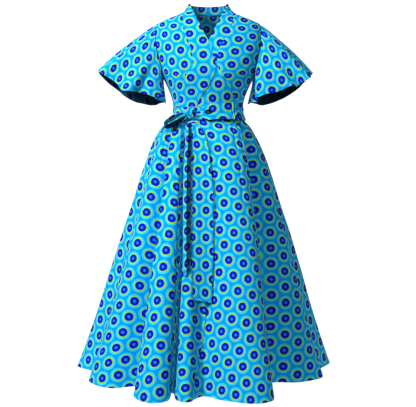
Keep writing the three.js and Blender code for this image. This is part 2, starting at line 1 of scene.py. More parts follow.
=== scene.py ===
# %% [markdown]
# # A printed wrap dress, cut from one patterned cotton
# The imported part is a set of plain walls: crossed fronts, a back, a stand collar, two flared
# sleeves, four skirt panels and a sash. This script lays a finer, thinner cloth over each of them,
# on the same form, and adds what cloth has: creases, rolled seams, stitched hems, a print that
# follows the grain of each panel, and a tied bow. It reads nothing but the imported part.

import bpy
import numpy as np
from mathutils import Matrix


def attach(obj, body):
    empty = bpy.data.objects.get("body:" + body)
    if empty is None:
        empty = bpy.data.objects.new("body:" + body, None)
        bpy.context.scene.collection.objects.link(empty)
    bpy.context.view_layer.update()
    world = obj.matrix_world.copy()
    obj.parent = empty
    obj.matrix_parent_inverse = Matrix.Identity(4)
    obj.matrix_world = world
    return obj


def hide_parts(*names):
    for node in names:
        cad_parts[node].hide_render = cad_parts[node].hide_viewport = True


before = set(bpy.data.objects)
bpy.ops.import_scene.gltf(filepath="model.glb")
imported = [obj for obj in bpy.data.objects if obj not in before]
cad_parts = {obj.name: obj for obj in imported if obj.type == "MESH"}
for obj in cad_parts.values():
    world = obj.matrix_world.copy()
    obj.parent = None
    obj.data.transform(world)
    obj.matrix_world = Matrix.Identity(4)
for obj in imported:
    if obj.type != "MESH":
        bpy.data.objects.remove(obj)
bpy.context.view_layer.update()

# %% [markdown]
# ## The view
# The dress is looked at from straight in front, from a little above its middle, through a long
# lens. The camera stands at its real distance and height and is only tilted down, never shifted,
# which gives the hem and the sleeves their right foreshortening.

# %% The camera
CAMERA_PLACE = (-0.001, -2.900, -0.4837)  # metres from the middle of the shoulders
CAMERA_TILT = 0.0717  # radians down from level
LENS, FILM = 68.4, 36.0  # mm
camera = bpy.data.objects.new("front_view", bpy.data.cameras.new("front_view"))
camera.data.lens, camera.data.sensor_width = LENS, FILM
camera.location = CAMERA_PLACE
camera.rotation_euler = (np.pi / 2 - CAMERA_TILT, 0.0, 0.0)
bpy.context.scene.collection.objects.link(camera)
bpy.context.scene.camera = camera
bpy.context.scene.view_settings.view_transform = "Standard"
print("camera", list(camera.location), "lens", LENS)

# %% [markdown]
# ## Tables and curves
# A dressmaker writes a pattern as a table of widths by height and draws a fair curve through the
# marks. Here each table has named columns, in millimetres, and a curve runs through its rows
# without overshooting them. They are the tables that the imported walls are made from, so the finer
# cloth lies on the same form.

# %% Curves through tables
MM = 0.001
CLOTH, SEAM, LAP, SASH_CLOTH = 2.0, 0.3, 0.6, 1.6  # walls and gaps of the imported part
COLLAR_TOP, NECK, SHOULDER, UNDERARM, WAIST, HEM = 30.0, -3.5, -46.0, -232.0, -365.0, -1300.0
QUARTER = np.pi / 2
NUDGE = 1e-3  # a small step for slopes
SOFT = 0.8  # the power of a sine and cosine that squares an oval off a little


def table(names, *rows):
    """Rows of numbers under named columns, as one array for each name."""
    return dict(zip(names.split(), np.array(rows, float).T))


def curve(rows, by, name):
    """A cubic through the rows: at each row its slope is the harmonic mean of the slopes on both
    sides, or none where they differ in sign, so that it never overshoots."""
    order = np.argsort(rows[by])
    x, y = rows[by][order], rows[name][order]
    step = np.diff(x)
    rise = np.diff(y) / step
    a, b = rise[:-1], rise[1:]
    turns = a * b <= 0
    inner = np.where(turns, 0.0, 2 * a * b / np.where(turns, 1.0, a + b))
    slope = np.concatenate([rise[:1], inner, rise[-1:]])

    def at(value):
        v = np.clip(value, x[0], x[-1])
        i = np.clip(np.searchsorted(x, v) - 1, 0, len(x) - 2)
        t = (v - x[i]) / step[i]
        s = 1 - t
        ends = y[i] * s * s * (1 + 2 * t) + y[i + 1] * t * t * (3 - 2 * t)
        return ends + step[i] * s * t * (slope[i] * s - slope[i + 1] * t)

    return at


def ring_through(points):
    """A closed Catmull-Rom curve by place: a whole number is a point itself."""
    points = np.asarray(points, float)
    count = len(points)

    def at(place):
        i = np.floor(place).astype(int)
        t = (place - i)[..., None]
        a, b, c, d = (points[(i + k) % count] for k in (-1, 0, 1, 2))
        cubic = (c - a) * t + (2 * a - 5 * b + 4 * c - d) * t**2 + (3 * b - a - 3 * c + d) * t**3
        return b + 0.5 * cubic

    return at


def power(value, exponent):
    """The value's size to the exponent, with the value's sign."""
    return np.sign(value) * np.abs(value) ** exponent


def ramp(value, start, end):
    """0 before start, 1 after end, and 3t^2 - 2t^3 between them."""
    t = np.clip((value - start) / (end - start), 0, 1)
    return t * t * (3 - 2 * t)


def unit(vectors):
    """Each vector over its own length."""
    return vectors / np.maximum(np.linalg.norm(vectors, axis=-1, keepdims=True), 1e-12)


def vector(x, y, z):
    """Three fields of numbers as one of points."""
    return np.stack(np.broadcast_arrays(x, y, z), -1).astype(float)


def steady(value):
    """A line that keeps one value at every height."""
    return lambda z: value + 0 * z


def crossed(down, across):
    """Two lists of numbers as a grid: the first goes down its rows, the second along them."""
    return np.broadcast_arrays(down[:, None], across[None, :])


print("the dress hangs from", COLLAR_TOP, "to", HEM, "mm")

# %% [markdown]
# ## The body of the dress
# The bodice is worn, so its form is the wearer's: level sections, each a rounded oval with its own
# depth in front and behind. An oval between an ellipse and a rectangle does this with four numbers
# a level, which is easier to fit than a lofted mesh.

# %% The bodice's form
SECTIONS = table(
    "z wide front back square",
    (38, 65, 28, 57, 2), (16, 80, 41, 63, 2), (2, 89.5, 49, 67, 2),
    (-13, 120.5, 60, 74, 1.95), (-27, 156, 70, 81, 1.95), (-46, 190, 82, 88, 2),
    (-80, 198, 99, 97, 2.4), (-118, 199, 112, 103, 2.6), (-160, 190, 123, 107, 2.6),
    (-215, 173, 130, 105, 2.4), (-250, 157, 124, 99, 2.3), (-283, 142, 113, 92, 2.2),
    (-320, 129.5, 101, 83, 2.1), (-345, 127, 97, 80, 2.05), (-365, 127, 96, 79, 2.05),
)
ARMHOLE = table(
    "z front back",
    (-46, 0, 0), (-50, 11, 12), (-60, 24, 27), (-80, 40, 45), (-115, 54, 58), (-150, 60, 62),
    (-190, 62, 60), (-212, 54, 50), (-224, 36, 34), (-230, 18, 16), (-232, 0, 0),
)
wide, front, back, square = (curve(SECTIONS, "z", k) for k in "wide front back square".split())
scye = {k: curve(ARMHOLE, "z", k) for k in ("front", "back")}
SLOWEST = 20  # mm for each radian, which keeps a nudge small where the outline turns sharply


def bodice(turn, z):
    """x = wide * sin(turn)^e and y = -depth * cos(turn)^e, where e is 2 / square at that level."""
    e = 2 / square(z)
    c, s = np.cos(turn), np.sin(turn)
    depth = np.where(c > 0, front(z), back(z))
    return vector(wide(z) * power(s, e), -depth * power(c, e), z)


def turn_at_x(x, z):
    """The turn whose sine gives that distance from the centre line."""
    return np.arcsin(np.clip(power(x / wide(z), square(z) / 2), -1, 1))


def side_turn(face, z):
    """The turn of the armhole's edge, and a quarter turn above and below the armhole."""
    depth = front(z) if face == "front" else back(z)
    from_front = np.arccos(np.clip((scye[face](z) / depth) ** (square(z) / 2), 0, 1))
    edge = from_front if face == "front" else np.pi - from_front
    return np.where((z >= SHOULDER) | (z <= UNDERARM), QUARTER, edge)


def nudged(turn, z, distance):
    """A turn moved along the outline by a distance: distance over the outline's own speed."""
    d = NUDGE / 10
    speed = np.linalg.norm(bodice(turn + d, z) - bodice(turn - d, z), axis=-1) / (2 * d)
    return turn + distance / np.maximum(speed, SLOWEST)


print("bodice at the underarm:", np.round(bodice(np.array([0.0, QUARTER]), UNDERARM), 1).tolist())

# %% [markdown]
# ## How the print lies
# A panel is laid on the printed cloth at its own angle before it is cut, and hangs with a little
# give. So each piece has its grain's turn in degrees, how far the repeat is shifted across and
# down in mm, and how much the cloth gives in width and in length. A panel with deep folds has a
# row for each stretch between them, because a fold hides cloth and the print jumps there; `until`
# is the place in the table of flares where a stretch ends.

# %% The lie of each piece
LIES = {name: table("until grain across down wide long", *rows) for name, rows in {
    "front_right_centre": [(99, 31.4, 30.8, -8.7, 1.045, 1.031)],
    "front_right_side": [(99, 46, 37.9, -43.4, 0.949, 1.021)],
    "front_left_centre": [(99, 8, 36.5, -8.7, 1.034, 1.062)],
    "front_left_side": [(99, 17.5, 29.3, -31, 1.121, 0.924)],
    "back": [(99, 0, -7, -48, 1, 1)],
    "collar": [(99, 0, 25.75, -7.5, 1, 1)],
    "sleeve_right": [(99, 22, 47.2, -22.3, 0.86, 1.052)],
    "sleeve_left": [(99, 32.6, 27.9, -18.6, 0.884, 1.165)],
    "skirt_front_right": [(4.2, 16.2, 25, -35.9, 1.24, 1.083),
                          (8.1, 28.8, 55.8, -29.7, 1.174, 1.098), (99, 5.9, 25.7, 0, 1.18, 0.99)],
    "skirt_front_left": [(15.6, 34, 56.5, -23.5, 1.002, 1.058),
                         (99, 27.4, 55.1, -13.6, 1.164, 1.065)],
    "skirt_back_left": [(99, 0.2, 23.6, -38.4, 1.226, 1.126)],
    "skirt_back_right": [(99, 12.1, 53.6, -33.5, 1.096, 1.145)],
    "sash_band": [(99, 35.9, 55.8, -17.3, 0.875, 1.172)],
    "sash_knot": [(99, 24, 0, 0, 1, 1)],
    "sash_loop_left": [(99, 8, 0, 0, 1, 1)],
    "sash_loop_right": [(99, -12, 0, 0, 1, 1)],
    "sash_end_long": [(99, -0.1, 38.6, -29.7, 0.906, 0.998)],
    "sash_end_short": [(99, 30, 51.5, -3.7, 1, 1)],
}.items()}
BLEND = 0.15  # places to each side of the line where one stretch gives way to the next


def lay_print(across, down, rows, where):
    """Places in the print in metres. For each row (across / wide, down / long) is turned by the
    grain and shifted; from one stretch to the next the two are blended inside the fold."""
    laid, edge = None, None
    for until, grain, right, low, wide_give, long_give in zip(*rows.values()):
        g, a, d = np.radians(grain), across / wide_give, down / long_give
        here = np.stack([a * np.cos(g) - d * np.sin(g) + right,
                         -(a * np.sin(g) + d * np.cos(g) + low)], -1)
        if laid is not None:
            here = laid + (here - laid) * ramp(where, edge - BLEND, edge + BLEND)[..., None]
        laid, edge = here, until
    return laid * MM


print("pieces with a lie of their own:", len(LIES))

# %% [markdown]
# ## A wall of cloth
# Real cloth is a sheet with two faces and a cut edge, and it is thicker where its hem is turned.
# A grid of points is pushed out and in along its own normals, and a rim closes it. A Solidify
# modifier would do the same, but worked out here the two faces and the rim keep their own places
# in the print.

# %% Runs, normals and faces of a grid
def run_along(points, axis):
    """The length travelled along an axis of the grid, from its first row or column."""
    step = np.linalg.norm(np.diff(points, axis=axis), axis=-1)
    start = np.zeros_like(np.take(step, [0], axis=axis))
    return np.concatenate([start, np.cumsum(step, axis=axis)], axis=axis)


def normals(points, closed, facing):
    """The cross product of the steps down the rows and along the columns, to length 1."""
    down = np.gradient(points, axis=0)
    if closed:
        along = (np.roll(points, -1, axis=1) - np.roll(points, 1, axis=1)) / 2
    else:
        along = np.gradient(points, axis=1)
    return unit(np.cross(down, along)) * facing


def wall_faces(rows, cols, closed, facing):
    """The corners of each face as (layer, row, column): the outer face, the inner one in the
    other turning order, and a strip from outer to inner edge along each open side."""
    last = cols if closed else cols - 1
    spans = [np.s_[: rows - 1, :last], np.s_[:1, :last], np.s_[rows - 1 : rows, :last],
             np.s_[: rows - 1, :1], np.s_[: rows - 1, cols - 1 : cols]]
    across = (0, 0, 0), (0, 0, 1), (1, 0, 1), (1, 0, 0)
    down = (0, 0, 0), (0, 1, 0), (1, 1, 0), (1, 0, 0)
    shapes = [((0, 0, 0), (0, 1, 0), (0, 1, 1), (0, 0, 1)), across, across, down, down]
    turned = [facing < 0, facing > 0, facing < 0, facing < 0, facing > 0]
    faces = []
    for span, shape, turn in list(zip(spans, shapes, turned))[: 3 if closed else 5]:
        i, j = np.mgrid[span].reshape(2, -1)
        corners = np.stack([0 * i, i, j], -1)[:, None] + np.array(shape)
        faces.append(corners[:, ::-1] if turn else corners)
    return [faces[0], faces[0][:, ::-1] + (1, 0, 0), *faces[1:]]


print("a square of 3 by 3 points has", sum(map(len, wall_faces(3, 3, False, 1))), "faces")

# %% [markdown]
# ## From a grid to a piece
# The mesh is filled in whole arrays. Each corner keeps its place in the print, in metres, as its
# UV: the print and the weave both read that, so they turn and give with the panel. Two attributes
# carry the distance from the nearest line of stitches and the run along it. The outer face takes
# the first finish and the inner one the second, except where masks paint shade: there the outer
# face takes the darker inner finish, and the inner face a third.

# %% Cloth from a grid of points
THICK = 0.9  # mm, the printed cotton with its finish
UNSTITCHED = (1000.0, 1000.0)  # mm from any stitches
made = {}


def mark_rim(mesh, rows, cols, closed):
    """The rim's edges, whose two ends lie on the border of one face, stay sharp like a cut."""
    border = np.zeros((rows, cols), bool)
    border[[0, -1]] = True
    if not closed:
        border[:, [0, -1]] = True
    border, layer = np.tile(border.ravel(), 2), rows * cols
    edge = np.empty(2 * len(mesh.edges), np.int32)
    mesh.edges.foreach_get("vertices", edge)
    edge = edge.reshape(-1, 2)
    sharp = border[edge].all(1) & ((edge < layer).all(1) | (edge >= layer).all(1))
    mesh.attributes.new("sharp_edge", "BOOLEAN", "EDGE").data.foreach_set("value", sharp)


def cloth(name, middle, across, down, where=None, thick=THICK, closed=False, facing=1,
          stitches=UNSTITCHED, painted_shade=False, seam_shadow=False, slot="dress_cotton"):
    """A closed wall round `middle` (rows, columns, xyz in mm): middle + normal * thick / 2 and
    middle - normal * thick / 2. `across` and `down` are each point's place on the flat cut in mm,
    with one column more where the grid is closed, and `where` its place in the table of flares.
    `stitches` is the distance from the nearest line of stitches and the run along it. Where the
    first mask after it is true, the outer face takes the inner finish as painted shade, and where
    the second is, the inner face takes the third finish, a painted shadow by a seam."""
    grid = middle.shape[:2]
    across, down = np.broadcast_arrays(across, down)
    flat = lay_print(across, down, LIES[name], where)
    push = normals(middle, closed, facing) * (np.broadcast_to(thick, grid) / 2)[..., None]
    parts = wall_faces(*grid, closed, facing)
    layer, i, j = np.moveaxis(np.concatenate(parts), -1, 0)
    vertex = (layer * grid[0] + i) * grid[1] + j % grid[1]
    mesh = bpy.data.meshes.new(name)
    mesh.vertices.add(2 * grid[0] * grid[1])
    mesh.vertices.foreach_set("co", (np.stack([middle + push, middle - push]) * MM).ravel())
    mesh.loops.add(vertex.size)
    mesh.loops.foreach_set("vertex_index", vertex.ravel().astype(np.int32))
    mesh.polygons.add(len(vertex))
    mesh.polygons.foreach_set("loop_start", np.arange(0, vertex.size, 4, dtype=np.int32))
    mesh.polygons.foreach_set("use_smooth", np.ones(len(vertex), bool))
    face = len(parts[0])
    cell = i[:face].min(1), j[:face].min(1)
    finish = np.zeros(len(vertex), np.int32)
    # Outer faces marked for painted shade take the inner finish, which is darker; marked inner
    # faces take the third finish, a painted shadow.
    finish[:face] = np.broadcast_to(painted_shade, grid)[cell]
    finish[face : 2 * face] = 1 + np.broadcast_to(seam_shadow, grid)[cell]
    mesh.polygons.foreach_set("material_index", finish)
    mesh.uv_layers.new(name="cut").data.foreach_set("uv", flat[i, j].ravel())
    mesh.update(calc_edges=True)
    mark_rim(mesh, *grid, closed)
    for label, values in zip(("stitch_line", "stitch_run"), stitches):
        values = np.tile(np.broadcast_to(values, grid).ravel(), 2) * MM
        mesh.attributes.new(label, "FLOAT", "POINT").data.foreach_set("value", values)
    mesh.validate()
    piece = bpy.data.objects.new(name, mesh)
    bpy.context.scene.collection.objects.link(piece)
    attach(piece, "root")
    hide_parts(name)
    made[name] = {"piece": piece, "cut": np.stack([across, down], -1) * MM}
    print(name, "triangles", 2 * len(vertex))
    return piece


print("cloth thickness", THICK, "mm")

# %% [markdown]
# ## Hems, seams and stitches
# Most of what tells sewn cloth from a sheet happens within a finger's breadth of its edges: a hem
# is turned twice and so is thicker, a seam sinks where it is pressed, and stitches run along at a
# fixed distance. All three are functions of the distance from a side, measured on the cloth.

# %% Distances from stitched edges
TURNED_THICK = 2.0  # mm, at a hem


def side_runs(points):
    """For each side of a grid, every point's distance from it and its run along it."""
    down, along = run_along(points, 0), run_along(points, 1)
    return {"top": (down, along), "foot": (down[-1:] - down, along),
            "start": (along, down), "end": (along[:, -1:] - along, down)}


def stitch_lines(points, **offsets):
    """For each point the distance from the nearest line of stitches, signed, and the run along
    it. A line lies at its offset from the side it is named for: top, foot, start or end."""
    sides = side_runs(points)
    off = np.array([sides[side][0] - offset for side, offset in offsets.items()])
    run = np.array([sides[side][1] for side in offsets])
    nearest = np.abs(off).argmin(0)[None]
    return np.take_along_axis(off, nearest, 0)[0], np.take_along_axis(run, nearest, 0)[0]


def finished(points, hem=TURNED_THICK, **widths):
    """The cloth's thickness: THICK, and `hem` within its width of each side that is turned."""
    sides = side_runs(points)
    near = np.min([sides[side][0] / width for side, width in widths.items()], axis=0)
    return THICK + (hem - THICK) * (1 - ramp(near, 0.85, 1.0))


def seam_roll(points, deep=0.9, reach=2.2, seams=("start", "end")):
    """How far the cloth sinks towards a seam: deep * exp(-(distance / reach)^2)."""
    sides = side_runs(points)
    near = np.min([sides[side][0] for side in seams], axis=0)
    return -deep * np.exp(-((near / reach) ** 2))


def spaced(start, end, step, ends=(0.0, 0.8, 2.0, 3.6)):
    """Marks from start to end, about a step apart, and closer together near both ends."""
    long = abs(end - start)
    inner = np.linspace(0, long, max(2, int(round(long / step)) + 1))
    marks = np.unique(np.round(np.concatenate([inner, ends, long - np.array(ends)]), 4))
    marks = marks[(marks >= 0) & (marks <= long)]
    return start + np.sign(end - start) * marks


print("marks 0 to 10 mm:", spaced(0, 10, 4).tolist())

# %% [markdown]
# ## Shader maths
# The print is a sum over places on the cut, so it is written as one. A small class wraps a node's
# socket and lets +, -, * and / add Math nodes, which reads better than a page of links.

# %% Shader maths as plain sums
def maths(operation):
    """A method that joins the field and its other values to one Math node."""

    def method(self, *others):
        return self.sheet.add("ShaderNodeMath", {"operation": operation}, (self, *others))

    return method


class Field:
    """A number that varies over a surface. Sums on it add Math nodes."""

    def __init__(self, sheet, socket):
        self.sheet, self.socket = sheet, socket

    __add__ = __radd__ = maths("ADD")
    __mul__ = __rmul__ = maths("MULTIPLY")
    __sub__, __truediv__ = maths("SUBTRACT"), maths("DIVIDE")
    floor, part, sine = maths("FLOOR"), maths("FRACT"), maths("SINE")
    size, root = maths("ABSOLUTE"), maths("SQRT")
    least, below = maths("MINIMUM"), maths("LESS_THAN")


class Finish:
    """A material being mixed: every node it needs comes from `add`."""

    def __init__(self, name):
        self.material = bpy.data.materials.new(name)
        self.material.use_nodes = True
        self.tree = self.material.node_tree
        self.tree.nodes.clear()

    def add(self, kind, settings=None, values=(), output=0):
        """A node of that kind: its settings first, then a value or a link for each socket, by
        order or by name. It returns the chosen output."""
        node = self.tree.nodes.new(kind)
        for key, value in (settings or {}).items():
            setattr(node, key, value)
        for key, value in values.items() if isinstance(values, dict) else enumerate(values):
            if isinstance(value, Field):
                self.tree.links.new(value.socket, node.inputs[key])
            else:
                node.inputs[key].default_value = value
        return Field(self, node.outputs[output])

    def noise(self, place, scale, detail):
        """Soft noise between about 0 and 1 over the places."""
        values = {"Vector": place, "Scale": scale, "Detail": detail}
        return self.add("ShaderNodeTexNoise", {}, values)

    def stepped(self, value, stops):
        """A colour ramp over the value, through stops that are each a place and a colour."""
        ramped = self.add("ShaderNodeValToRGB", {}, [value])
        elements = ramped.socket.node.color_ramp.elements
        elements.remove(elements[-1])
        elements[0].position, elements[0].color = stops[0][0], (*stops[0][1], 1.0)
        for place, shade in stops[1:]:
            elements.new(place).color = (*shade, 1.0)
        return ramped

    def mix(self, share, one, other):
        """A colour that goes from one to the other as share goes from 0 to 1."""
        return self.add("ShaderNodeMix", {"data_type": "RGBA"}, {0: share, 6: one, 7: other}, 2)

    def end(self, **sockets):
        """Joins a Principled shader with those sockets to the material's output."""
        named = {key.replace("_", " "): value for key, value in sockets.items()}
        surface = self.add("ShaderNodeBsdfPrincipled", {}, named)
        output = self.tree.nodes.new("ShaderNodeOutputMaterial")
        self.tree.links.new(surface.socket, output.inputs["Surface"])
        return self.material


def colour(red, green, blue):
    """A colour named by its 0 to 255 values on a screen, as linear light."""
    v = np.array([red, green, blue]) / 255
    linear = np.where(v <= 0.04045, v / 12.92, ((v + 0.055) / 1.055) ** 2.4)
    return tuple(float(x) for x in linear)


print("azure as linear light:", np.round(colour(0, 158, 246), 3).tolist())

# %% [markdown]
# ## The print
# The cotton is printed all over with a small repeat of ringed discs: a light dot, a royal blue
# disc with a dark rim, a thin yellow-green ring and a pale halo, on an azure ground. The discs
# stand in rows, each shifted by half a disc, as oranges are packed. Every point finds its distance
# from the nearest disc's centre, and one colour ramp over that distance draws the whole motif,
# with no image. The wrong side is the same print, a little faded. The wrong side, the collar's
# facing and the depths of sleeves and bow are darkened as painted shade, the depths most.

# %% The printed cotton
DISC_PITCH = 0.0515  # metres between neighbouring discs
ROW_PITCH = DISC_PITCH * np.sqrt(3) / 2
MOTIF_REACH = 0.0260  # the ramp runs from a disc's centre to this radius
MOTIF = [(radius * MM / MOTIF_REACH, colour(*screen)) for radius, screen in (  # radius in mm
    (0.0, (0, 150, 255)), (3.9, (0, 138, 250)), (5.2, (0, 36, 140)), (6.2, (0, 8, 104)),
    (7.6, (0, 18, 190)), (9.0, (0, 28, 238)), (12.2, (0, 24, 228)), (13.0, (0, 24, 66)),
    (13.8, (84, 146, 0)), (14.8, (196, 238, 0)), (16.1, (176, 234, 10)), (17.2, (30, 194, 196)),
    (18.6, (60, 216, 238)), (21.4, (58, 216, 242)), (22.9, (16, 190, 246)), (24.2, (0, 158, 246)),
)]
GROUND = (*MOTIF[-1][1], 1.0)
# Near black: the dye's clouds darken the print towards it, and painted shade darkens it further.
DYE_AND_SHADE_DARK = (0.0, 0.003, 0.012, 1.0)
STITCH_COLOUR, STITCH_COVER = (*colour(10, 70, 190), 1.0), 0.65
BLEED = 0.0006  # metres by which the dye wavers, all told
WEAVE = 0.0008  # metres for two threads: twenty-five threads to the centimetre
STITCH, STITCHED = 0.0028, 0.78  # metres from stitch to stitch, and the share that is thread
STITCH_HALF, GROOVE_HALF = 0.0004, 0.0011  # metres
BLEED_SCALE, CLOUD_SCALE, SLUB_SCALE = 260.0, 9.0, 900.0  # waves to the metre
BUMP = {"Strength": 0.35, "Distance": 0.0004}


def disc_distance(u, v, row):
    """The distance from the nearest disc of a row: along the row to the nearest centre, which is
    half a pitch further on in odd rows, and across to the row's line."""
    shift = (row * 0.5).part()
    along = ((u / DISC_PITCH - shift + 0.5).part() - 0.5) * DISC_PITCH
    across = v - row * ROW_PITCH
    return (along * along + across * across).root()


def printed_cotton(name, shade=1.0, fade=0.0):
    """The print over a plain weave. `fade` mixes it towards the ground colour, as on the wrong
    side, and `shade` darkens it towards near black as painted shade. The height is weave + slub +
    stitch - groove."""
    finish = Finish(name)
    cut = finish.add("ShaderNodeUVMap", {"uv_map": "cut"})
    u = finish.add("ShaderNodeSeparateXYZ", {}, [cut])
    v = Field(finish, u.socket.node.outputs[1])
    lower = (v / ROW_PITCH).floor()
    near = disc_distance(u, v, lower).least(disc_distance(u, v, lower + 1))
    near = near + (finish.noise(cut, BLEED_SCALE, 2.0) - 0.5) * BLEED
    base = finish.mix(fade, finish.stepped(near / MOTIF_REACH, MOTIF), GROUND)
    # The dye takes unevenly over a hand's breadth, and along single threads; `shade` adds painted
    # shade towards the same near black.
    base = finish.mix(0.10 * finish.noise(cut, CLOUD_SCALE, 3.0) + (1 - shade), base, DYE_AND_SHADE_DARK)
    slub = finish.noise(cut, SLUB_SCALE, 2.0)
    weave = (u * (2 * np.pi / WEAVE)).sine() * (v * (2 * np.pi / WEAVE)).sine()
    line, run = (finish.add("ShaderNodeAttribute", {"attribute_name": label}, output=2)
                 for label in ("stitch_line", "stitch_run"))
    stitch = line.size().below(STITCH_HALF) * (run / STITCH).part().below(STITCHED)
    groove = line.size().below(GROOVE_HALF)
    base = finish.mix(stitch * STITCH_COVER, base, STITCH_COLOUR)
    height = weave * 0.10 + slub * 0.22 + stitch * 0.9 - groove * 0.5
    bump = finish.add("ShaderNodeBump", {}, {**BUMP, "Height": height})
    return finish.end(Base_Color=base, Roughness=0.70 + 0.12 * slub, Normal=bump,
                      Specular_IOR_Level=0.04)


RIGHT_SIDE = printed_cotton("printed_cotton")
# The inner finishes are darkened as painted shade, the deep one most; the wrong side and the deep
# one are also a little faded, as the back of a print is.
REVERSE_IN_SHADE = printed_cotton("printed_cotton_reverse_painted_shade", shade=0.55, fade=0.05)
FACING_IN_SHADE = printed_cotton("printed_cotton_facing_painted_shade", shade=0.72)
SHADED_SIDE = printed_cotton("printed_cotton_painted_deep_shade", shade=0.15, fade=0.05)
print("disc pitch", DISC_PITCH, "row pitch", round(ROW_PITCH, 4))

# %% [markdown]
# ## The bodice
# Six pieces: a centre and a side panel for each front, joined by a shaping seam from shoulder to
# waist, the back, and the collar that the fronts grow up into. The right front lies over the left
# one. Each edge and seam is a line as seen from the front, wrapped onto the bodice's form.

# %% Lines on the front
FRONT_LINES = ((30, 66.5), (14, 60.5), (-3, 53.5), (-33, 40), (-63, 25), (-91, 12))
TOP_EDGE = table(
    "z x",
    *[(z, -x) for z, x in FRONT_LINES], (-118, 1.8), (-152, 12), (-199, 25), (-214, 25),
    (-238, 16.5), (-277, -3.5), (-309, -27), (-365, -52),
)
UNDER_EDGE = table(
    "z x",
    *FRONT_LINES, (-118, -1.8), (-152, -17), (-200, -38), (-250, -58), (-300, -74), (-365, -88),
)
RIGHT_SEAM = table(
    "z x",
    (-3, -91), (-53, -91), (-77, -82.5), (-109, -72), (-138, -62.5), (-174, -55.5), (-198, -51),
    (-214, -61), (-240, -82), (-280, -96), (-311, -103), (-365, -108),
)
LEFT_SEAM = table(
    "z x",
    (-3, 91), (-46, 86), (-90, 66), (-133, 43), (-160, 34), (-190, 31), (-214, 38), (-238, 56),
    (-262, 72), (-296, 88), (-333, 101), (-365, 106),
)
top_edge, under_edge, right_seam, left_seam = (
    curve(rows, "z", "x") for rows in (TOP_EDGE, UNDER_EDGE, RIGHT_SEAM, LEFT_SEAM)
)
UNDER = CLOTH + 1  # how far the left front is sunk under the right one


def left_front(turn, z):
    """The bodice's form, sunk by UNDER where the right front covers it and a little beyond."""
    point = bodice(turn, z)
    sunk = UNDER * (1 - ramp(point[..., 0] - top_edge(z), 7, 32))
    out = unit(vector(point[..., 0] / wide(z) ** 2, point[..., 1] / front(z) ** 2, 0))
    return point - out * sunk[..., None]


print("the fronts overlap at the waist by", float(top_edge(WAIST) - under_edge(WAIST)), "mm")

# %% [markdown]
# ## Creases
# Worn cotton pulls from the armholes towards the bust, from the bust to the waist, and across the
# small of the back, and is gathered where the sash draws it in. Listed one by one, each crease
# falls where a body makes it, which noise would not do.

# %% Creases laid on one by one
# Each crease runs from one point to another as seen from the front, x and z in mm. It is `reach`
# mm to each side of its line and `rise` mm high, or deep where that is negative.
FRONT_CREASES = table(
    "x1 z1 x2 z2 reach rise",
    (-150, -150, -95, -196, 7, 1.8), (-152, -176, -112, -205, 6, -1.5),
    (-146, -196, -104, -232, 8, 1.6), (-141, -120, -118, -168, 9, -1.6),
    (-60, -222, -84, -300, 8, 1.5), (-38, -232, -50, -330, 9, -1.7),
    (-116, -262, -98, -338, 7, 1.6), (-14, -262, -38, -342, 7, 1.4), (150, -146, 104, -190, 7, 1.7),
    (152, -170, 116, -214, 7, -1.6), (143, -204, 100, -236, 7, 1.5),
    (140, -116, 122, -160, 9, -1.5), (46, -236, 66, -318, 8, 1.5), (24, -246, 22, -334, 9, -1.5),
    (108, -258, 92, -336, 7, 1.7), (-4, -150, 20, -205, 8, 1), (97, -296, 101, -352, 2.8, -6),
    (104, -300, 106, -356, 3, 4.5), (110, -306, 112, -354, 2.6, -5.5),
    (117, -300, 116, -350, 2.8, 4), (88, -310, 94, -356, 3, 2.2),
)
BACK_CREASES = table(
    "x1 z1 x2 z2 reach rise",
    (-148, -158, -92, -214, 8, 1.9), (-146, -186, -100, -246, 8, -1.6),
    (150, -152, 98, -206, 8, 1.8), (144, -190, 92, -242, 7, -1.7), (-62, -262, -44, -350, 9, 1.7),
    (-28, -276, -16, -356, 8, -1.5), (30, -270, 14, -352, 8, 1.6), (66, -256, 52, -346, 9, -1.6),
    (-70, -60, 66, -72, 12, 1.2), (-96, -330, 88, -336, 10, 1.6),
)


def creased(points, rows):
    """The sum over the creases of rise * exp(-(distance / reach)^2), faded in and out along each
    one by the sine of its share to the power 0.7."""
    x, z = points[..., 0, None], points[..., 2, None]
    x1, z1, x2, z2, reach, rise = rows.values()
    dx, dz = x2 - x1, z2 - z1
    share = np.clip(((x - x1) * dx + (z - z1) * dz) / (dx**2 + dz**2), 0, 1)
    off = np.hypot(x - x1 - share * dx, z - z1 - share * dz)
    return (rise * np.exp(-((off / reach) ** 2)) * np.sin(np.pi * share) ** 0.7).sum(-1)


def uneven(u, v, size=46.0, high=0.5):
    """The slight waviness of worn cloth: three crossed waves of unlike lengths, in mm."""
    a = np.sin(u / size * 2.1 + 1.3 * np.sin(v / size * 1.1))
    b = np.sin(v / size * 1.7 + 0.9 * np.sin(u / size * 1.6 + 2.0))
    c = np.sin((u + v) / size * 3.1 + 0.7)
    return high * (0.5 * a + 0.35 * b + 0.25 * c)


print("creases:", len(FRONT_CREASES["rise"]), "in front,", len(BACK_CREASES["rise"]), "behind")

# %% [markdown]
# ## Cutting the bodice
# Each panel is the form between two lines, half a seam in from both, on a grid that is closer
# where its edges roll. Its grain stays plumb, as a cutter lays it, so the place across the cut is
# the run at each level from the centre line.

# %% The bodice's panels
LEVEL_STEP = 4.0
CALM = 14  # mm from an edge within which the creases die away
SIDE_TOP, BACK_TOP, COLLAR_FOOT = NECK - 1.5 * SEAM, NECK - SEAM / 2, NECK + SEAM / 2
PANEL_FOOT = WAIST + SEAM / 2
SEAM_SHADE_STRIP = 5.0  # mm of the collar's inner face above the neck seam painted dark as its shadow


def arc_to(form, centre, turn, z):
    """The signed run at a level from one turn to another: the sum of 48 chords."""
    turns = centre + (turn - centre) * np.linspace(0, 1, 49)
    chords = np.diff(form(turns, z + 0 * turns), axis=1)
    return np.linalg.norm(chords, axis=-1).sum(1, keepdims=True) * np.sign(turn - centre)


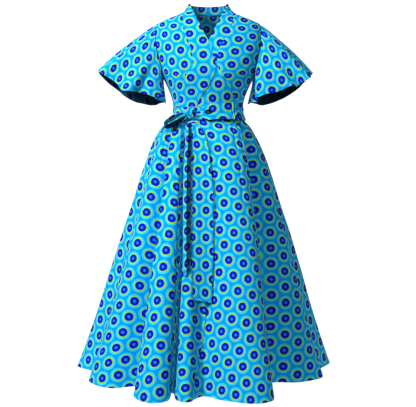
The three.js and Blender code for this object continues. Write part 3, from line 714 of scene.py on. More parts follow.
def panel_grid(form, start, end, top, foot, columns, marks=(), centre=0.0):
    """The form between two lines, each a turn at a height: share s of the way from one to the
    other. With it comes each point's run at its level from the centre line."""
    z = np.clip(np.concatenate([spaced(top, foot, LEVEL_STEP), marks]), foot, top)
    z = np.unique(np.round(z, 4))[::-1, None]
    share = spaced(0, 1, 1 / columns, ends=(0, 0.006, 0.018, 0.035))[None, :]
    a, b = nudged(start(z), z, SEAM / 2), nudged(end(z), z, -SEAM / 2)
    points = form(a + (b - a) * share, z + 0 * share)
    return points, arc_to(form, centre, a, z) + run_along(points, 1)


def dressed_panel(name, grid, creases, seams, stitched=None, turned=None, slack=0.45):
    """A bodice panel: its form moved out by the creases and the slack, and in by the seams' roll,
    with its thickness, stitches and flat cut."""
    points, across = grid
    middle = points.shape[1] // 2
    down = run_along(points[:, middle : middle + 1, 1:], 0)
    lift = creased(points, creases) + uneven(points[..., 0], points[..., 2], high=slack)
    along = run_along(points, 1)
    lift = lift * ramp(np.minimum(along, along[:, -1:] - along), 0, CALM)
    lift = lift + seam_roll(points, seams=seams)
    # Just above the neck seam the collar's inner face is painted dark, as the seam's shadow.
    return cloth(
        name, points + normals(points, False, 1) * (lift - THICK / 2)[..., None], across, down,
        thick=finished(points, **turned) if turned else THICK,
        stitches=stitch_lines(points, **stitched) if stitched else UNSTITCHED,
        seam_shadow=(points[..., 2] < COLLAR_FOOT + SEAM_SHADE_STRIP) & (name == "collar"),
    )


def seam_turn(seam, side):
    """The shaping seam's turn; above the neck the centre front runs on to the shoulder line."""
    return lambda z: np.where(z > NECK, side * QUARTER, turn_at_x(seam(z), z))


def edge_turn(line):
    """The turn of a front edge at each height."""
    return lambda z: turn_at_x(line(z), z)


def armhole_turn(face, side, whole=0.0):
    """The armhole's turn on one side, counted on from a whole turn where that is given."""
    return lambda z: whole + side * side_turn(face, z)


neck_marks = (COLLAR_FOOT, BACK_TOP, SIDE_TOP)
right_line, left_line = seam_turn(right_seam, -1), seam_turn(left_seam, 1)
for name, form, start, end, top, columns, side in (
    ("front_right_centre", bodice, right_line, edge_turn(top_edge), COLLAR_TOP, 32, "end"),
    ("front_right_side", bodice, armhole_turn("front", -1), right_line, SIDE_TOP, 30, None),
    ("front_left_centre", left_front, edge_turn(under_edge), left_line, COLLAR_TOP, 38, "start"),
    ("front_left_side", left_front, left_line, armhole_turn("front", 1), SIDE_TOP, 30, None),
):
    grid = panel_grid(form, start, end, top, PANEL_FOOT, columns, neck_marks if side else ())
    if side:
        seams = ("start",) if side == "end" else ("end",)
        dressed_panel(name, grid, FRONT_CREASES, seams, {"top": 4, side: 7}, {"top": 8, side: 12})
    else:
        dressed_panel(name, grid, FRONT_CREASES, ("start", "end", "top"))
grid = panel_grid(bodice, armhole_turn("back", 1), armhole_turn("back", -1, 2 * np.pi), BACK_TOP,
                  PANEL_FOOT, 84, centre=np.pi)
dressed_panel("back", grid, BACK_CREASES, ("start", "end", "top"))
grid = panel_grid(bodice, steady(QUARTER), steady(3 * QUARTER), COLLAR_TOP, COLLAR_FOOT, 50,
                  centre=np.pi)
dressed_panel("collar", grid, BACK_CREASES, ("start", "end", "foot"), {"top": 4}, {"top": 8}, 0.2)

# %% [markdown]
# ## The sleeves
# Short and cut on a circle: a plain shoulder that falls into soft flutes, so the hem is about half
# as long again as the armhole. The armhole and the hem are both closed lines, and the cloth runs
# straight from one to the other, a little full halfway. A table gives the hem's waves, and each
# flute fades as it climbs to the shoulder.

# %% The sleeves' form
SLEEVE_DEPTH, SLEEVE_BACK_DROP = 104.0, 24.0
SLEEVE_FULL = 9.0  # mm by which the cloth stands out halfway
ARMHOLE_OFF = CLOTH / 2 + SEAM + 0.25
# Side, the hem's outer tip and inner heel, and its waves: turn in degrees, out and drop in mm.
SLEEVE_TABLES = {
    "sleeve_right": (-1, (400, -208), (156, -322), (
        (0, 0, 0), (24, -7, 3), (45, 8, 7), (60, -12, 11), (73, -9, 18), (84, 13, 32), (96, 4, 15),
        (110, -7, 8), (131, 8, 1), (157, -4, -8), (180, 0, 2), (204, 5, -10), (227, -4, 2),
        (249, 12, 13), (272, -5, 26), (295, 13, 14), (317, -3, 11), (339, 6, 3))),
    "sleeve_left": (1, (378, -219), (148, -326), (
        (0, 0, 0), (24, -5, 8), (44, 7, 15), (60, -5, 16), (70, -3, 22), (82, 8, 13), (101, -5, 4),
        (124, 7, -3), (146, -5, -8), (164, 2, -6), (184, 1, 0), (208, 5, -13), (231, -4, -1),
        (254, 10, 10), (276, -5, 15), (298, 11, 10), (319, -4, 4), (340, 5, -2))),
}


def armhole_line(side):
    """The armhole as a closed line, evenly spaced by length: 0 is the shoulder point, a quarter
    turn the front and half a turn the underarm."""
    z = SHOULDER + (UNDERARM - SHOULDER) * (1 - np.cos(np.linspace(0, np.pi, 60))) / 2

    def half(face):
        turn = side * side_turn(face, z)
        along = bodice(turn + NUDGE, z) - bodice(turn - NUDGE, z)
        up = bodice(turn, z + 0.5) - bodice(turn, z - 0.5)
        points = bodice(turn, z) + unit(np.cross(along, up)) * ARMHOLE_OFF
        length = run_along(points[:, None], 0)[:, 0]
        return lambda share: np.stack(
            [np.interp(share * length[-1], length, points[:, k]) for k in range(3)], -1)

    ahead, behind = half("front"), half("back")

    def at(turn):
        share = (turn / np.pi) % 2
        return np.where((share <= 1)[..., None], ahead(np.clip(share, 0, 1)),
                        behind(np.clip(2 - share, 0, 1)))

    return at


def sleeve_form(side, tip, heel, waves):
    """share 0 to 1 goes from the armhole to the hem: start + share * (hem - start), moved out by
    the hem's wave times share^1.4 and by the fullness SLEEVE_FULL * sin(pi * share)."""
    start = armhole_line(side)
    centre = np.array([side * (tip[0] + heel[0]) / 2, 0, (tip[1] + heel[1]) / 2])
    long = np.array([side * (tip[0] - heel[0]), 0, tip[1] - heel[1]]) / 2
    ring = ring_through([row[1:] for row in waves])
    marks = np.array([row[0] for row in waves] + [360.0])

    def at(share, turn):
        wave = ring(np.interp(np.degrees(turn) % 360, marks, np.arange(len(marks))))
        out, drop = wave[..., 0], wave[..., 1]
        c, s = np.cos(turn), np.sin(turn)
        hem = centre + long * power(c, SOFT)[..., None]
        hem = hem + vector(0, -SLEEVE_DEPTH * power(s, SOFT), -SLEEVE_BACK_DROP * np.maximum(0, -s))
        outward = unit(long) * c[..., None] + vector(0, -s, 0)
        full = SLEEVE_FULL * np.sin(np.pi * share) * (0.55 + 0.45 * c)
        point = start(turn) * (1 - share)[..., None] + hem * share[..., None]
        point = point + outward * (out * share**1.4 + full)[..., None]
        return point - vector(0, 0, drop * share**2)

    return at


print("waves round the hems:", [len(rows[3]) for rows in SLEEVE_TABLES.values()])

# %% [markdown]
# ## The sleeves' folds
# The cloth falls from the armhole in folds, the deepest of which tucks it in beside the bodice,
# and fine pleats ease it into the seam. Like the skirt's panels the sleeve is cut as part of a
# ring, so its threads run straight down from the shoulder point and at a slant beside it.

# %% The sleeves' cloth
SLEEVE_ROWS, SLEEVE_COLUMNS, SLEEVE_HEM = 56, 240, 6.0
# The angle round the sleeve in degrees, how far down each fold starts as a share, its reach in
# degrees and how high or deep it is at the hem in mm.
SLEEVE_FOLDS = {name: table("at start reach rise", *rows) for name, rows in {
    "sleeve_right": [(66, 0.2, 4, -5), (90, 0.05, 5, 10), (101, 0.05, 6, -15), (118, 0.3, 4, 4),
                     (143, 0.15, 6, 6), (160, 0.0, 11, -24), (214, 0.3, 5, -6), (262, 0.2, 6, 7),
                     (281, 0.2, 5, -7)],
    "sleeve_left": [(58, 0.3, 4, -5), (84, 0.1, 5, 9), (96, 0.1, 6, -13), (121, 0.2, 5, 5),
                    (146, 0.1, 6, 6), (158, 0.0, 12, -26), (226, 0.3, 5, -6), (256, 0.2, 6, 6),
                    (277, 0.2, 5, -8)],
}.items()}


def sleeve_folds(name, share, turn):
    """The sum of rise * share^1.1 * exp(-(angle off / reach)^2), faded in from each start."""
    at, start, reach, rise = SLEEVE_FOLDS[name].values()
    off = (np.degrees(turn)[..., None] - at + 180) % 360 - 180
    fall = ramp(share[..., None], start, start + 0.5) * share[..., None] ** 1.1
    return (rise * fall * np.exp(-((off / reach) ** 2))).sum(-1)


def ring_cut(points, middle):
    """A flared piece's place on its flat cut, which is part of a ring: the radius grows down the
    piece, and the angle is the run over the radius, from that share of the width."""
    down, along = run_along(points, 0), run_along(points, 1)
    mean_down = down.mean(1, keepdims=True)
    inner = along[0, -1] * mean_down[-1, 0] / (along[-1, -1] - along[0, -1])
    angle = (along - along[:, -1:] * middle) / (inner + mean_down)
    return (inner + down) * np.sin(angle), (inner + down) * np.cos(angle) - inner


def make_sleeve(name):
    """The form moved out by the ease 1.6 * sin(23 turns), the flutes 3 * sin(11 turns), both made
    uneven, the folds and the seam's roll, with a narrow stitched hem."""
    side, tip, heel, waves = SLEEVE_TABLES[name]
    share, turn = crossed(np.concatenate([np.linspace(0, 0.97, SLEEVE_ROWS), [0.985, 0.995, 1.0]]),
                          np.linspace(0, 2 * np.pi, SLEEVE_COLUMNS + 1))
    points = sleeve_form(side, tip, heel, waves)(share, turn)
    ease = 1.6 * np.sin(23 * turn + 1.7 * np.sin(3 * turn) + side)
    ease = ease * np.exp(-(((share - 0.10) / 0.12) ** 2))
    ease = ease * (0.5 + 0.5 * np.cos(turn)) * ramp(share, 0.0, 0.06)
    flute = 3.0 * np.sin(11 * turn + 1.2 * np.sin(2 * turn + side)) * ramp(share, 0.25, 1.0)
    roll = -0.8 * np.exp(-(((share * 200) / 3.0) ** 2))
    lift = (ease + flute + roll + sleeve_folds(name, share, turn))[:, :-1, None]
    middle = points[:, :-1] + normals(points[:, :-1], True, -side) * lift
    across, down = ring_cut(points, 0)
    hem, along = side_runs(points)["foot"]
    thick = THICK + 0.9 * (1 - ramp(hem, SLEEVE_HEM, SLEEVE_HEM + 1.5))
    return cloth(name, middle, -side * across, down, thick=thick[:, :-1], closed=True, facing=-side,
                 stitches=((hem - SLEEVE_HEM)[:, :-1], along[:, :-1]))


make_sleeve("sleeve_right")
make_sleeve("sleeve_left")

# %% [markdown]
# ## The skirt
# Four panels cut from a wide circle and hung from the waist. Its weight pulls the extra width into
# flares, each a cone that starts at the waist seam and opens to the hem. Every crest and hollow is
# a row in a table: where it leaves the waist, where it meets the hem and how far it reaches there.
# The folds are straight lines between those two, so the skirt is their ruled surface, spread by
# height.

# %% The skirt's form
FLARES = table(
    "waist hem reach",
    (-92, -91, 488), (-84, -79, 424), (-75, -65, 460), (-66, -51, 434), (-59, -43, 350),
    (-50, -34, 438), (-44, -24, 470), (-40, -18, 430), (-37, -20, 350), (-33, -14.5, 412),
    (-25, -8.5, 426), (-10, -2.5, 362), (10, 7, 408), (31, 18, 460), (48, 26.5, 458), (58, 32, 405),
    (64, 44, 306), (71, 57, 378), (79, 70, 430), (88, 83, 412), (97, 97, 464), (107, 108, 398),
    (119, 121, 456), (132, 133, 384), (144, 145, 452), (156, 156, 378), (168, 168, 450),
    (180, 180, 372), (192, 191, 452), (204, 203, 380), (216, 215, 456), (229, 227, 388),
    (242, 240, 460), (255, 253, 402),
)
SPREAD = table(
    "z share sway",
    (-365, 0, 0), (-387, 0.024, 3), (-401, 0.062, 5), (-416, 0.105, 6.5), (-445, 0.158, 6),
    (-481, 0.212, 4.5), (-533, 0.272, 2.5), (-606, 0.345, 1.5), (-679, 0.413, 0.5),
    (-827, 0.554, -1), (-939, 0.655, -1), (-1164, 0.862, 0), (-1300, 1, 0),
)
WRAP_EDGE = table(
    "z place", (-365, 10.7), (-990, 11.2), (-1143, 10.9), (-1218, 10.5), (-1300, 10.3))
WRAP_UNDERLAP = 1.1
RIGHT_PLACE, LEFT_PLACE, BACK_PLACE = 1, 19, 27
ROUND = len(FLARES["waist"])
spread, sway = curve(SPREAD, "z", "share"), curve(SPREAD, "z", "sway")
wrap_edge = curve(WRAP_EDGE, "z", "place")
waist_ring = ring_through(np.radians(FLARES["waist"] - 360 * np.arange(ROUND) / ROUND)[:, None])
hem_angle = np.radians(FLARES["hem"])
hem_ring = ring_through(
    np.stack([FLARES["reach"] * np.sin(hem_angle), -FLARES["reach"] * np.cos(hem_angle)], -1))


def skirt(z, place):
    """waist + (hem - waist) * spread(z) along each fold line, swayed aside by height."""
    turn = waist_ring(place)[..., 0] + 2 * np.pi * place / ROUND
    waist = bodice(turn, WAIST + 0 * turn)[..., :2]
    xy = waist + (hem_ring(place) - waist) * spread(z)[..., None]
    return vector(xy[..., 0] - sway(z), xy[..., 1], z)


def skirt_along(z, place):
    """The step along the outline over two small nudges of the place."""
    return skirt(z, place + NUDGE) - skirt(z, place - NUDGE)


def skirt_out(z, place):
    """The direction straight out of the skirt."""
    return unit(np.cross(skirt_along(z, place), skirt(z + NUDGE, place) - skirt(z - NUDGE, place)))


def place_nudged(z, place, distance):
    """A place moved along the outline by a distance: distance over the outline's own speed."""
    return place + distance / (np.linalg.norm(skirt_along(z, place), axis=-1) / (2 * NUDGE))


def left_skirt(z, place):
    """The skirt, sunk by UNDER where the right front's skirt covers it and a little beyond."""
    sunk = UNDER * (1 - ramp(place - wrap_edge(z), 0.08, 0.6))
    return skirt(z, place) - skirt_out(z, place) * sunk[..., None]


print("flares:", ROUND // 2, "reaching", FLARES["reach"].min(), "to", FLARES["reach"].max(), "mm")

# %% [markdown]
# ## The skirt's panels
# Between the big flares the cloth has smaller creases, and at the waist it is eased into the seam
# in fine gathers. Some of the flares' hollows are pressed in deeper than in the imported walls. The
# hem is turned up and the wrap's two edges are turned in, and both are stitched where they end.

# %% The skirt's cloth
# Small creases: the place in the table of flares, the heights between which it runs, its reach to
# each side in places, and its rise in mm.
SMALL_FOLDS = table(
    "place top foot reach rise",
    (2.6, -400, -900, 0.16, 3), (3.4, -392, -640, 0.12, -3), (4.7, -395, -760, 0.14, 3),
    (5.5, -392, -560, 0.1, -2.5), (6.3, -400, -720, 0.1, 2), (9.3, -400, -640, 0.12, 2.5),
    (12.4, -392, -560, 0.14, 2.2), (13.5, -392, -820, 0.12, -2.6), (14.6, -398, -700, 0.12, 2.6),
    (15.5, -395, -560, 0.12, -2.5), (17.4, -395, -800, 0.14, 3), (18.4, -392, -620, 0.12, -2.6),
    (20.5, -392, -700, 0.14, 3), (22.4, -392, -640, 0.14, -2.8), (24.6, -392, -820, 0.14, 3),
    (26.4, -392, -600, 0.12, -2.6), (28.6, -392, -760, 0.14, 3), (30.4, -392, -640, 0.12, -2.8),
    (32.5, -392, -700, 0.14, 3), (33.4, -392, -560, 0.12, -2.4), (8.2, -400, -1400, 0.6, -18),
    (4.15, -400, -1400, 0.35, -11), (5.2, -400, -1330, 0.3, 5),
    (16.2, -385, -1400, 0.55, -20), (14.9, -400, -1330, 0.25, 4),
    (11.95, -395, -1020, 0.22, -6), (1.9, -395, -1400, 0.3, -9), (18.9, -400, -1330, 0.2, 4),
    (17.5, -395, -900, 0.12, -3),
)
SKIRT_HEM, WRAP_HEM, SKIRT_TURNED = 20, 12, 1.9
SKIRT_ROWS = np.unique(np.concatenate([
    np.linspace(WAIST - SEAM / 2, -460, 26), np.linspace(-460, HEM + 26, 96),
    [HEM + 21, HEM + 19, HEM + 12, HEM + 6, HEM + 2.5, HEM + 1, HEM],
]))[::-1]


def small_folds(z, place):
    """The sum of rise * exp(-(place off / reach)^2), faded in below the top and out to the foot,
    and fine gathers that leave the waist seam and fade within a hand's breadth."""
    at, top, foot, reach, rise = SMALL_FOLDS.values()
    share = np.clip((z[..., None] - top) / (foot - top), 0, 1)
    off = (place[..., None] - at + ROUND / 2) % ROUND - ROUND / 2
    folds = (rise * np.exp(-((off / reach) ** 2)) * np.sin(np.pi * share**0.55)).sum(-1)
    around = 2 * np.pi * place / ROUND
    gathers = np.sin(47 * around + 1.9 * np.sin(5 * around)) * (0.6 + 0.4 * np.sin(7 * around + 1))
    return folds + 1.7 * gathers * ramp(-z, 389, 404) * np.exp(-np.maximum(0, -z - 404) / 60)


def make_skirt(name, form, start, end, count, wrap=None):
    """A panel between two places of the skirt, moved out by its creases and in by the seams'
    roll. `wrap` names the side that is an edge of the wrap."""
    z = SKIRT_ROWS[:, None]
    share = spaced(0, 1, 1 / count, ends=(0, 0.003, 0.008, 0.015))[None, :]
    a, b = place_nudged(z, start(z), SEAM / 2), place_nudged(z, end(z), -SEAM / 2)
    z, place = np.broadcast_arrays(z, a + (b - a) * share)
    points = form(z, place)
    along = run_along(points, 1)
    lift = small_folds(z, place) + uneven(place * 40, z, 90, 0.9)
    lift = lift * ramp(np.minimum(along, along[:, -1:] - along), 0, 16)
    seams = [side for side in ("start", "end") if side != wrap]
    lift = lift * ramp(WAIST - z, 4, 40) + seam_roll(points, 1.0, 2.6, seams)
    middle = points + skirt_out(z, place) * (lift - THICK / 2)[..., None]
    hems = {"foot": SKIRT_HEM, **({wrap: WRAP_HEM} if wrap else {})}
    thick, stitches = finished(points, SKIRT_TURNED, **hems), stitch_lines(points, **hems)
    return cloth(name, middle, *ring_cut(points, 0.5), place, thick, stitches=stitches)


right, left, behind = steady(RIGHT_PLACE), steady(LEFT_PLACE), steady(BACK_PLACE)
make_skirt("skirt_front_right", skirt, right, wrap_edge, 210, "end")
make_skirt("skirt_front_left", left_skirt, lambda z: wrap_edge(z) - WRAP_UNDERLAP, left, 200,
           "start")
make_skirt("skirt_back_left", skirt, left, behind, 200)
make_skirt("skirt_back_right", skirt, behind, steady(ROUND + RIGHT_PLACE), 200)

# %% [markdown]
# ## The sash
# One long strip, folded in half and turned: it goes round the waist over the seam and is tied on
# the right front in a half bow. Each stretch that shows is a surface of its own: the band, the
# knot, a loop that lies along the waist, one that droops over the hip, and two hanging ends. All
# of them are placed by their distance out from the waist, which follows the dress.

# %% Where the sash lies
BAND_TOP, BAND_BOTTOM = -343.0, -388.0
KNOT_X, KNOT_Z, KNOT_WIDE, KNOT_DEEP, KNOT_HIGH = -54.0, -365.0, 16.0, 12.0, 22.0
SASH_OFF = LAP + SASH_CLOTH
KNOT_OFF = SASH_OFF + 2 * LAP + KNOT_DEEP
SASH_SPREAD = 385  # mm by which the skirt widens from the waist to the hem, for the band's flare
SASH = {"thick": 1.0, "slot": "sash_cotton"}
SASH_EDGE = 3  # mm from the edge to the stitches


def waist_form(turn, z):
    """The bodice above the waist seam; below it its outline grows as the skirt spreads."""
    flare = SASH_SPREAD * spread(z) + 2.6 * ramp(-z, -WAIST, -WAIST + 8)
    point = bodice(turn, np.maximum(z, WAIST))
    point = point + unit(vector(point[..., 0], point[..., 1], 0)) * np.asarray(flare)[..., None]
    return vector(point[..., 0] - sway(z), point[..., 1], z)


def waist_out(turn):
    """The level direction straight out of the waist."""
    level = WAIST + 0 * turn
    along = bodice(turn + NUDGE, level) - bodice(turn - NUDGE, level)
    return unit(vector(along[..., 1], -along[..., 0], 0))


def moved_out(turn, z, distance):
    """The waist's form moved straight out by a distance."""
    turn, z, distance = np.broadcast_arrays(turn, z, distance)
    return waist_form(turn, z) + waist_out(turn) * distance[..., None]


KNOT_TURN = turn_at_x(np.float64(KNOT_X), np.float64(WAIST))
waist_turns = np.linspace(-QUARTER, 2 * QUARTER, 400)
waist_runs = run_along(bodice(waist_turns, np.full(400, WAIST))[:, None], 0)[:, 0]
waist_runs = waist_runs - np.interp(KNOT_TURN, waist_turns, waist_runs)


def turn_from_knot(distance):
    """The turn at a distance round the waist from the knot, positive to the wearer's left."""
    return np.interp(distance, waist_runs, waist_turns)


print("the knot is turned", round(float(np.degrees(KNOT_TURN)), 1), "degrees from the front")

# %% [markdown]
# ## The band
# Pulled tight the strip crumples into soft folds that run round the waist and draw together
# towards the knot. A sine across its width makes them, with its phase drifting round the waist.

# %% The band
def make_band():
    """A ring moved out by sin(2.1 waves across the width), more so near the knot."""
    z, turn = crossed(spaced(BAND_TOP, BAND_BOTTOM, 1.6, ends=(0, 0.5, 1.2)),
                      np.linspace(0, 2 * np.pi, 361))
    points = moved_out(turn, z, SASH_OFF)
    across = (z - BAND_BOTTOM) / (BAND_TOP - BAND_BOTTOM)
    near_knot = np.exp(-((((turn - KNOT_TURN + np.pi) % (2 * np.pi)) - np.pi) / 0.7) ** 2)
    tuck = np.sin(2 * np.pi * (2.1 * across + 0.18 * np.sin(2 * turn) + 0.1 * np.sin(5 * turn + 1)))
    lift = tuck * (0.35 + 1.0 * near_knot) * np.sin(np.pi * across) ** 0.5
    middle = points + (waist_out(turn) * (lift - SASH["thick"] / 2)[..., None])
    along = run_along(points, 1).mean(0, keepdims=True) + 0 * z
    stitches = [values[:, :-1] for values in stitch_lines(points, top=2, foot=2)]
    return cloth("sash_band", middle[:, :-1], along, BAND_TOP - z, closed=True, stitches=stitches,
                 **SASH)


make_band()

# %% [markdown]
# ## The knot
# The sash wraps over itself once, so the knot is a small lump with creases that run up and down
# it. Between the pleats one sees into the folds: their bottoms are painted in deep shade.

# %% The knot
def make_knot():
    """A rounded lump, pinched at both ends by 1 - 0.25 y^2, whose radius falls into a groove
    wherever the sine of 3.5 times the angle, slanted by the height, is near zero."""
    polar, angle = crossed(np.linspace(0.02, np.pi - 0.02, 60), np.linspace(0, 2 * np.pi, 121))
    x, y = np.sin(polar) * np.cos(angle), np.cos(polar)
    deep = np.sin(polar) * np.sin(angle)
    fold = np.abs(np.sin(3.5 * angle + 1.1 * y))
    pleat = 1 + 0.30 * (fold**0.5 - 0.75) * np.sin(polar) + 0.05 * np.sin(9 * angle - 2 * y)
    pinch = (1 - 0.25 * y * y) * pleat
    out = waist_out(np.array(KNOT_TURN))
    along = np.array([-out[1], out[0], 0])
    centre = moved_out(KNOT_TURN, KNOT_Z - KNOT_HIGH / 3, KNOT_OFF)
    centre[2] = 0
    points = centre + along * (KNOT_WIDE * 0.95 * power(x, SOFT) * pinch)[..., None]
    points = points + out * (KNOT_DEEP * 0.95 * power(deep, SOFT) * pinch)[..., None]
    points[..., 2] = KNOT_Z + KNOT_HIGH * power(y, SOFT)
    # The bottoms of the grooves are painted in deep shade.
    return cloth("sash_knot", points[:, :-1], angle * KNOT_WIDE, -1.2 * KNOT_HIGH * y, closed=True,
                 facing=-1, painted_shade=(fold < 0.30)[:, :-1], **SASH)


make_knot()

# %% [markdown]
# ## The loop along the waist
# It leaves the knot in tight pleats, lies along the waist and turns back on itself. Near the knot
# its edge is folded over, which leaves a small mouth with a raised rim and a hollow painted in
# deep shade, and its far end is gathered into upright creases a finger's width apart, with slits
# of painted shade between them.

# %% The loop along the waist
LEFT_REACH, LEFT_THICK, LEFT_NARROW, LEFT_WIDE, LEFT_RISE = 152.0, 7.0, 9.0, 30.0, 9.0
MOUTH_RUN, MOUTH_Z, MOUTH_LONG, MOUTH_HIGH = 38.0, -363.0, 13.0, 8.5
CREASE_STEP, CREASE_HIGH = 8.5, 2.0


def make_left_loop():
    """Out from the knot, round an arc and back behind: the run along it is a straight, half a
    circle and a straight, lifted off the band by the circle's height. On it lie the pleats, which
    fade with the run, the mouth's hollow and rim, and the creases of the far end."""
    root = KNOT_WIDE + SEAM + 1
    flat_run = LEFT_REACH - LEFT_THICK - root
    bent, whole = flat_run + np.pi * LEFT_THICK, 2 * flat_run + np.pi * LEFT_THICK
    run = [np.linspace(0, flat_run, 90), np.linspace(flat_run, bent, 26)[1:],
           np.linspace(bent, whole, 60)[1:]]
    run, across = crossed(np.concatenate(run), np.linspace(-1, 1, 61))
    past = np.clip(run, flat_run, bent) - flat_run
    out = np.where(run > bent, whole - run, np.minimum(run, flat_run)) / flat_run
    lift = LEFT_THICK * (0.35 + 0.65 * ramp(out, 0, 0.6)) * np.cos(past / LEFT_THICK)
    turn = turn_from_knot(root + flat_run * out + LEFT_THICK * np.sin(past / LEFT_THICK))
    half = LEFT_NARROW + (LEFT_WIDE - LEFT_NARROW) * ramp(out, 0, 0.35)
    z = KNOT_Z + LEFT_RISE * ramp(out, 0, 0.6) + across * half
    in_front = np.maximum(0, lift / LEFT_THICK)
    crown = 3 * (1 - across**2) * in_front * ramp(out, 0, 0.5)
    pleats = 1.6 * np.sin(np.pi * (3.2 * across + 0.4)) * (1 - ramp(out, 0.05, 0.5))
    mouth = np.hypot((run - MOUTH_RUN) / MOUTH_LONG,
                     (z - MOUTH_Z + 0.10 * (run - MOUTH_RUN)) / MOUTH_HIGH)
    rim = 2.4 * np.exp(-(((mouth - 1.25) / 0.3) ** 2)) - 5.5 * (1 - ramp(mouth, 0.7, 1.05))
    soft = 1.2 * np.sin(5.2 * out + 2.6 * across) * ramp(out, 0.2, 0.5) * in_front
    crease = np.cos(2 * np.pi * run / CREASE_STEP + 1.6 * across) * ramp(out, 0.82, 0.93)
    off = SASH_OFF + LAP + SASH_CLOTH / 2 + 0.3 + LEFT_THICK
    off = off + lift + crown + pleats + soft + rim + CREASE_HIGH * crease
    points = moved_out(turn, z, off)
    # The mouth's hollow and the slits between the far creases are painted in deep shade.
    dark = (mouth < 1.0) | ((crease < -0.80) & (np.abs(across - 0.2) < 0.7))
    return cloth("sash_loop_left", points, run, -across * LEFT_WIDE, painted_shade=dark,
                 stitches=stitch_lines(points, start=SASH_EDGE, end=SASH_EDGE), **SASH)


make_left_loop()

# %% [markdown]
# ## The loop over the hip
# The other loop is short, stands away from the dress and droops. It is seen from its open side, so
# most of what shows is its inside, painted in deep shade, between two bright edges.

# %% The loop over the hip
RIGHT_REACH, RIGHT_THICK, RIGHT_NARROW, RIGHT_WIDE = 84.0, 10.5, 10.0, 24.0
HIP_ALONG, HIP_AHEAD = np.array([-0.88, 0.08, -0.44]), np.array([-0.3, -0.45, 0.8])


def make_right_loop():
    """An oval in the plane of two directions, the first along the loop, swept across its own
    width: along * reach * (1 - cos) / 2 + ahead * thick * sin. Its pleats fade from the knot."""
    along = unit(HIP_ALONG)
    ahead = unit(HIP_AHEAD - along * (HIP_AHEAD @ along))
    side = unit(np.cross(along, ahead))
    root = moved_out(KNOT_TURN, KNOT_Z + 6, KNOT_OFF + 4) + along * (KNOT_WIDE + 7)
    share, across = crossed(np.linspace(0, 1, 110), np.linspace(-1, 1, 35))
    swing = 2 * np.pi * share
    away = (1 - np.cos(swing)) / 2
    half = RIGHT_NARROW + (RIGHT_WIDE - RIGHT_NARROW) * ramp(away, 0, 0.5)
    half = half * (1 - 0.15 * ramp(away, 0.7, 1))
    pleats = 1.1 * np.sin(np.pi * (2.6 * across + 0.3)) * (1 - ramp(away, 0.05, 0.5))
    lift = RIGHT_THICK * np.sin(swing) + (2.5 + pleats) * np.cos(swing / 2)
    points = root + along * (RIGHT_REACH * away)[..., None] + ahead * lift[..., None]
    points = points + side * ((across - 0.35) * half)[..., None]
    # Across most of its width, past the root, the loop is painted in deep shade.
    return cloth("sash_loop_right", points, run_along(points, 0), across * RIGHT_WIDE, facing=-1,
                 painted_shade=(np.abs(across + 0.08) < 0.76) & (away > 0.06),
                 stitches=stitch_lines(points, start=SASH_EDGE, end=SASH_EDGE), **SASH)


make_right_loop()

# %% [markdown]
# ## The hanging ends
# Two tails lie down the skirt from under the knot: the long one nearly flat with both edges
# lifted, the short one creased along its length with its far half sloping back and painted in
# deep shade. Each rests on the highest points of the skirt beneath it, as a strip of cloth does.

# %% The hanging ends
LONG_END = table(
    "z left right off",
    (-402, -58, -40, 5), (-430, -52, -18, 2.8), (-481, -53, -2, 2), (-561, -53, 8, 2),
    (-642, -53, 16, 2.4), (-840, -53, 16, 3.4), (-960, -51, 11, 4), (-994, -50, 10, 4),
)
SHORT_END = table(
    "z left right off",
    (-402, -76, -61, 4), (-450, -78, -58, 1.8), (-560, -85, -58, 1.8), (-700, -86, -58, 1.8),
    (-850, -84, -58, 1.8), (-905, -82, -60, 1.8),
)
# How far each end stands off the skirt across its width.
LONG_PROFILE = table("share stand", (0, 7), (0.12, 5), (0.5, 3.5), (0.86, 5.5), (1, 7.5))
SHORT_PROFILE = table("share stand", (0, 5), (0.2, 8.5), (0.36, 11), (0.5, 7), (1, -1.2))


def skirt_front_at(x, z):
    """The skirt's depth at a given x, by halving between two places."""
    x, z = np.broadcast_arrays(np.asarray(x, float), np.asarray(z, float))
    low, high = np.full(x.shape, 7.0), np.full(x.shape, 15.0)
    for _ in range(40):
        middle = (low + high) / 2
        right_of = skirt(z, middle)[..., 0] < x
        low, high = np.where(right_of, middle, low), np.where(right_of, high, middle)
    return skirt(z, low)[..., 1]


def make_end(name, rows, profile, slant, shade_from=2.0):
    """A strip whose depth is the skirt's highest points across its width, less what it stands off
    by its profile, its pleats at the knot and a slow roll. Past the share of its width given last
    it is painted in deep shade."""
    left, right, off = (curve(rows, "z", key) for key in ("left", "right", "off"))
    top, foot = rows["z"][0], rows["z"][-1]
    drop = spaced(0, 1, 1 / 150, ends=(0, 0.003, 0.008))[:, None]
    share = np.linspace(0, 1, 41)[None, :]
    z = top + (foot - top) * drop
    a, b = left(z), right(z)
    ya, yb = skirt_front_at(a, z), skirt_front_at(b, z)
    marks = np.linspace(0, 1, 13)[None, :]
    lift = ((ya + (yb - ya) * marks) - skirt_front_at(a + (b - a) * marks, z)).max(1, keepdims=True)
    stand = curve(profile, "share", "stand")(share)
    pleats = 1.5 * np.sin(np.pi * 5 * share) * np.exp(-drop * 14)
    roll = 1.2 * np.sin(2 * np.pi * (1.1 * drop + 0.2)) * (share - 0.5)
    y = ya + (yb - ya) * share - np.maximum(0, lift) - off(z) - stand - pleats - roll
    points = vector(a + (b - a) * share, y, z - slant * (share - 0.5) * drop**4)
    across = run_along(points, 1)
    stitches = stitch_lines(points, start=SASH_EDGE, end=SASH_EDGE, foot=SASH_EDGE)
    return cloth(name, points, across - across[:, -1:] / 2, top - z, stitches=stitches,
                 painted_shade=share + 0 * z > shade_from, **SASH)


make_end("sash_end_long", LONG_END, LONG_PROFILE, 14)
make_end("sash_end_short", SHORT_END, SHORT_PROFILE, -18, shade_from=0.42)
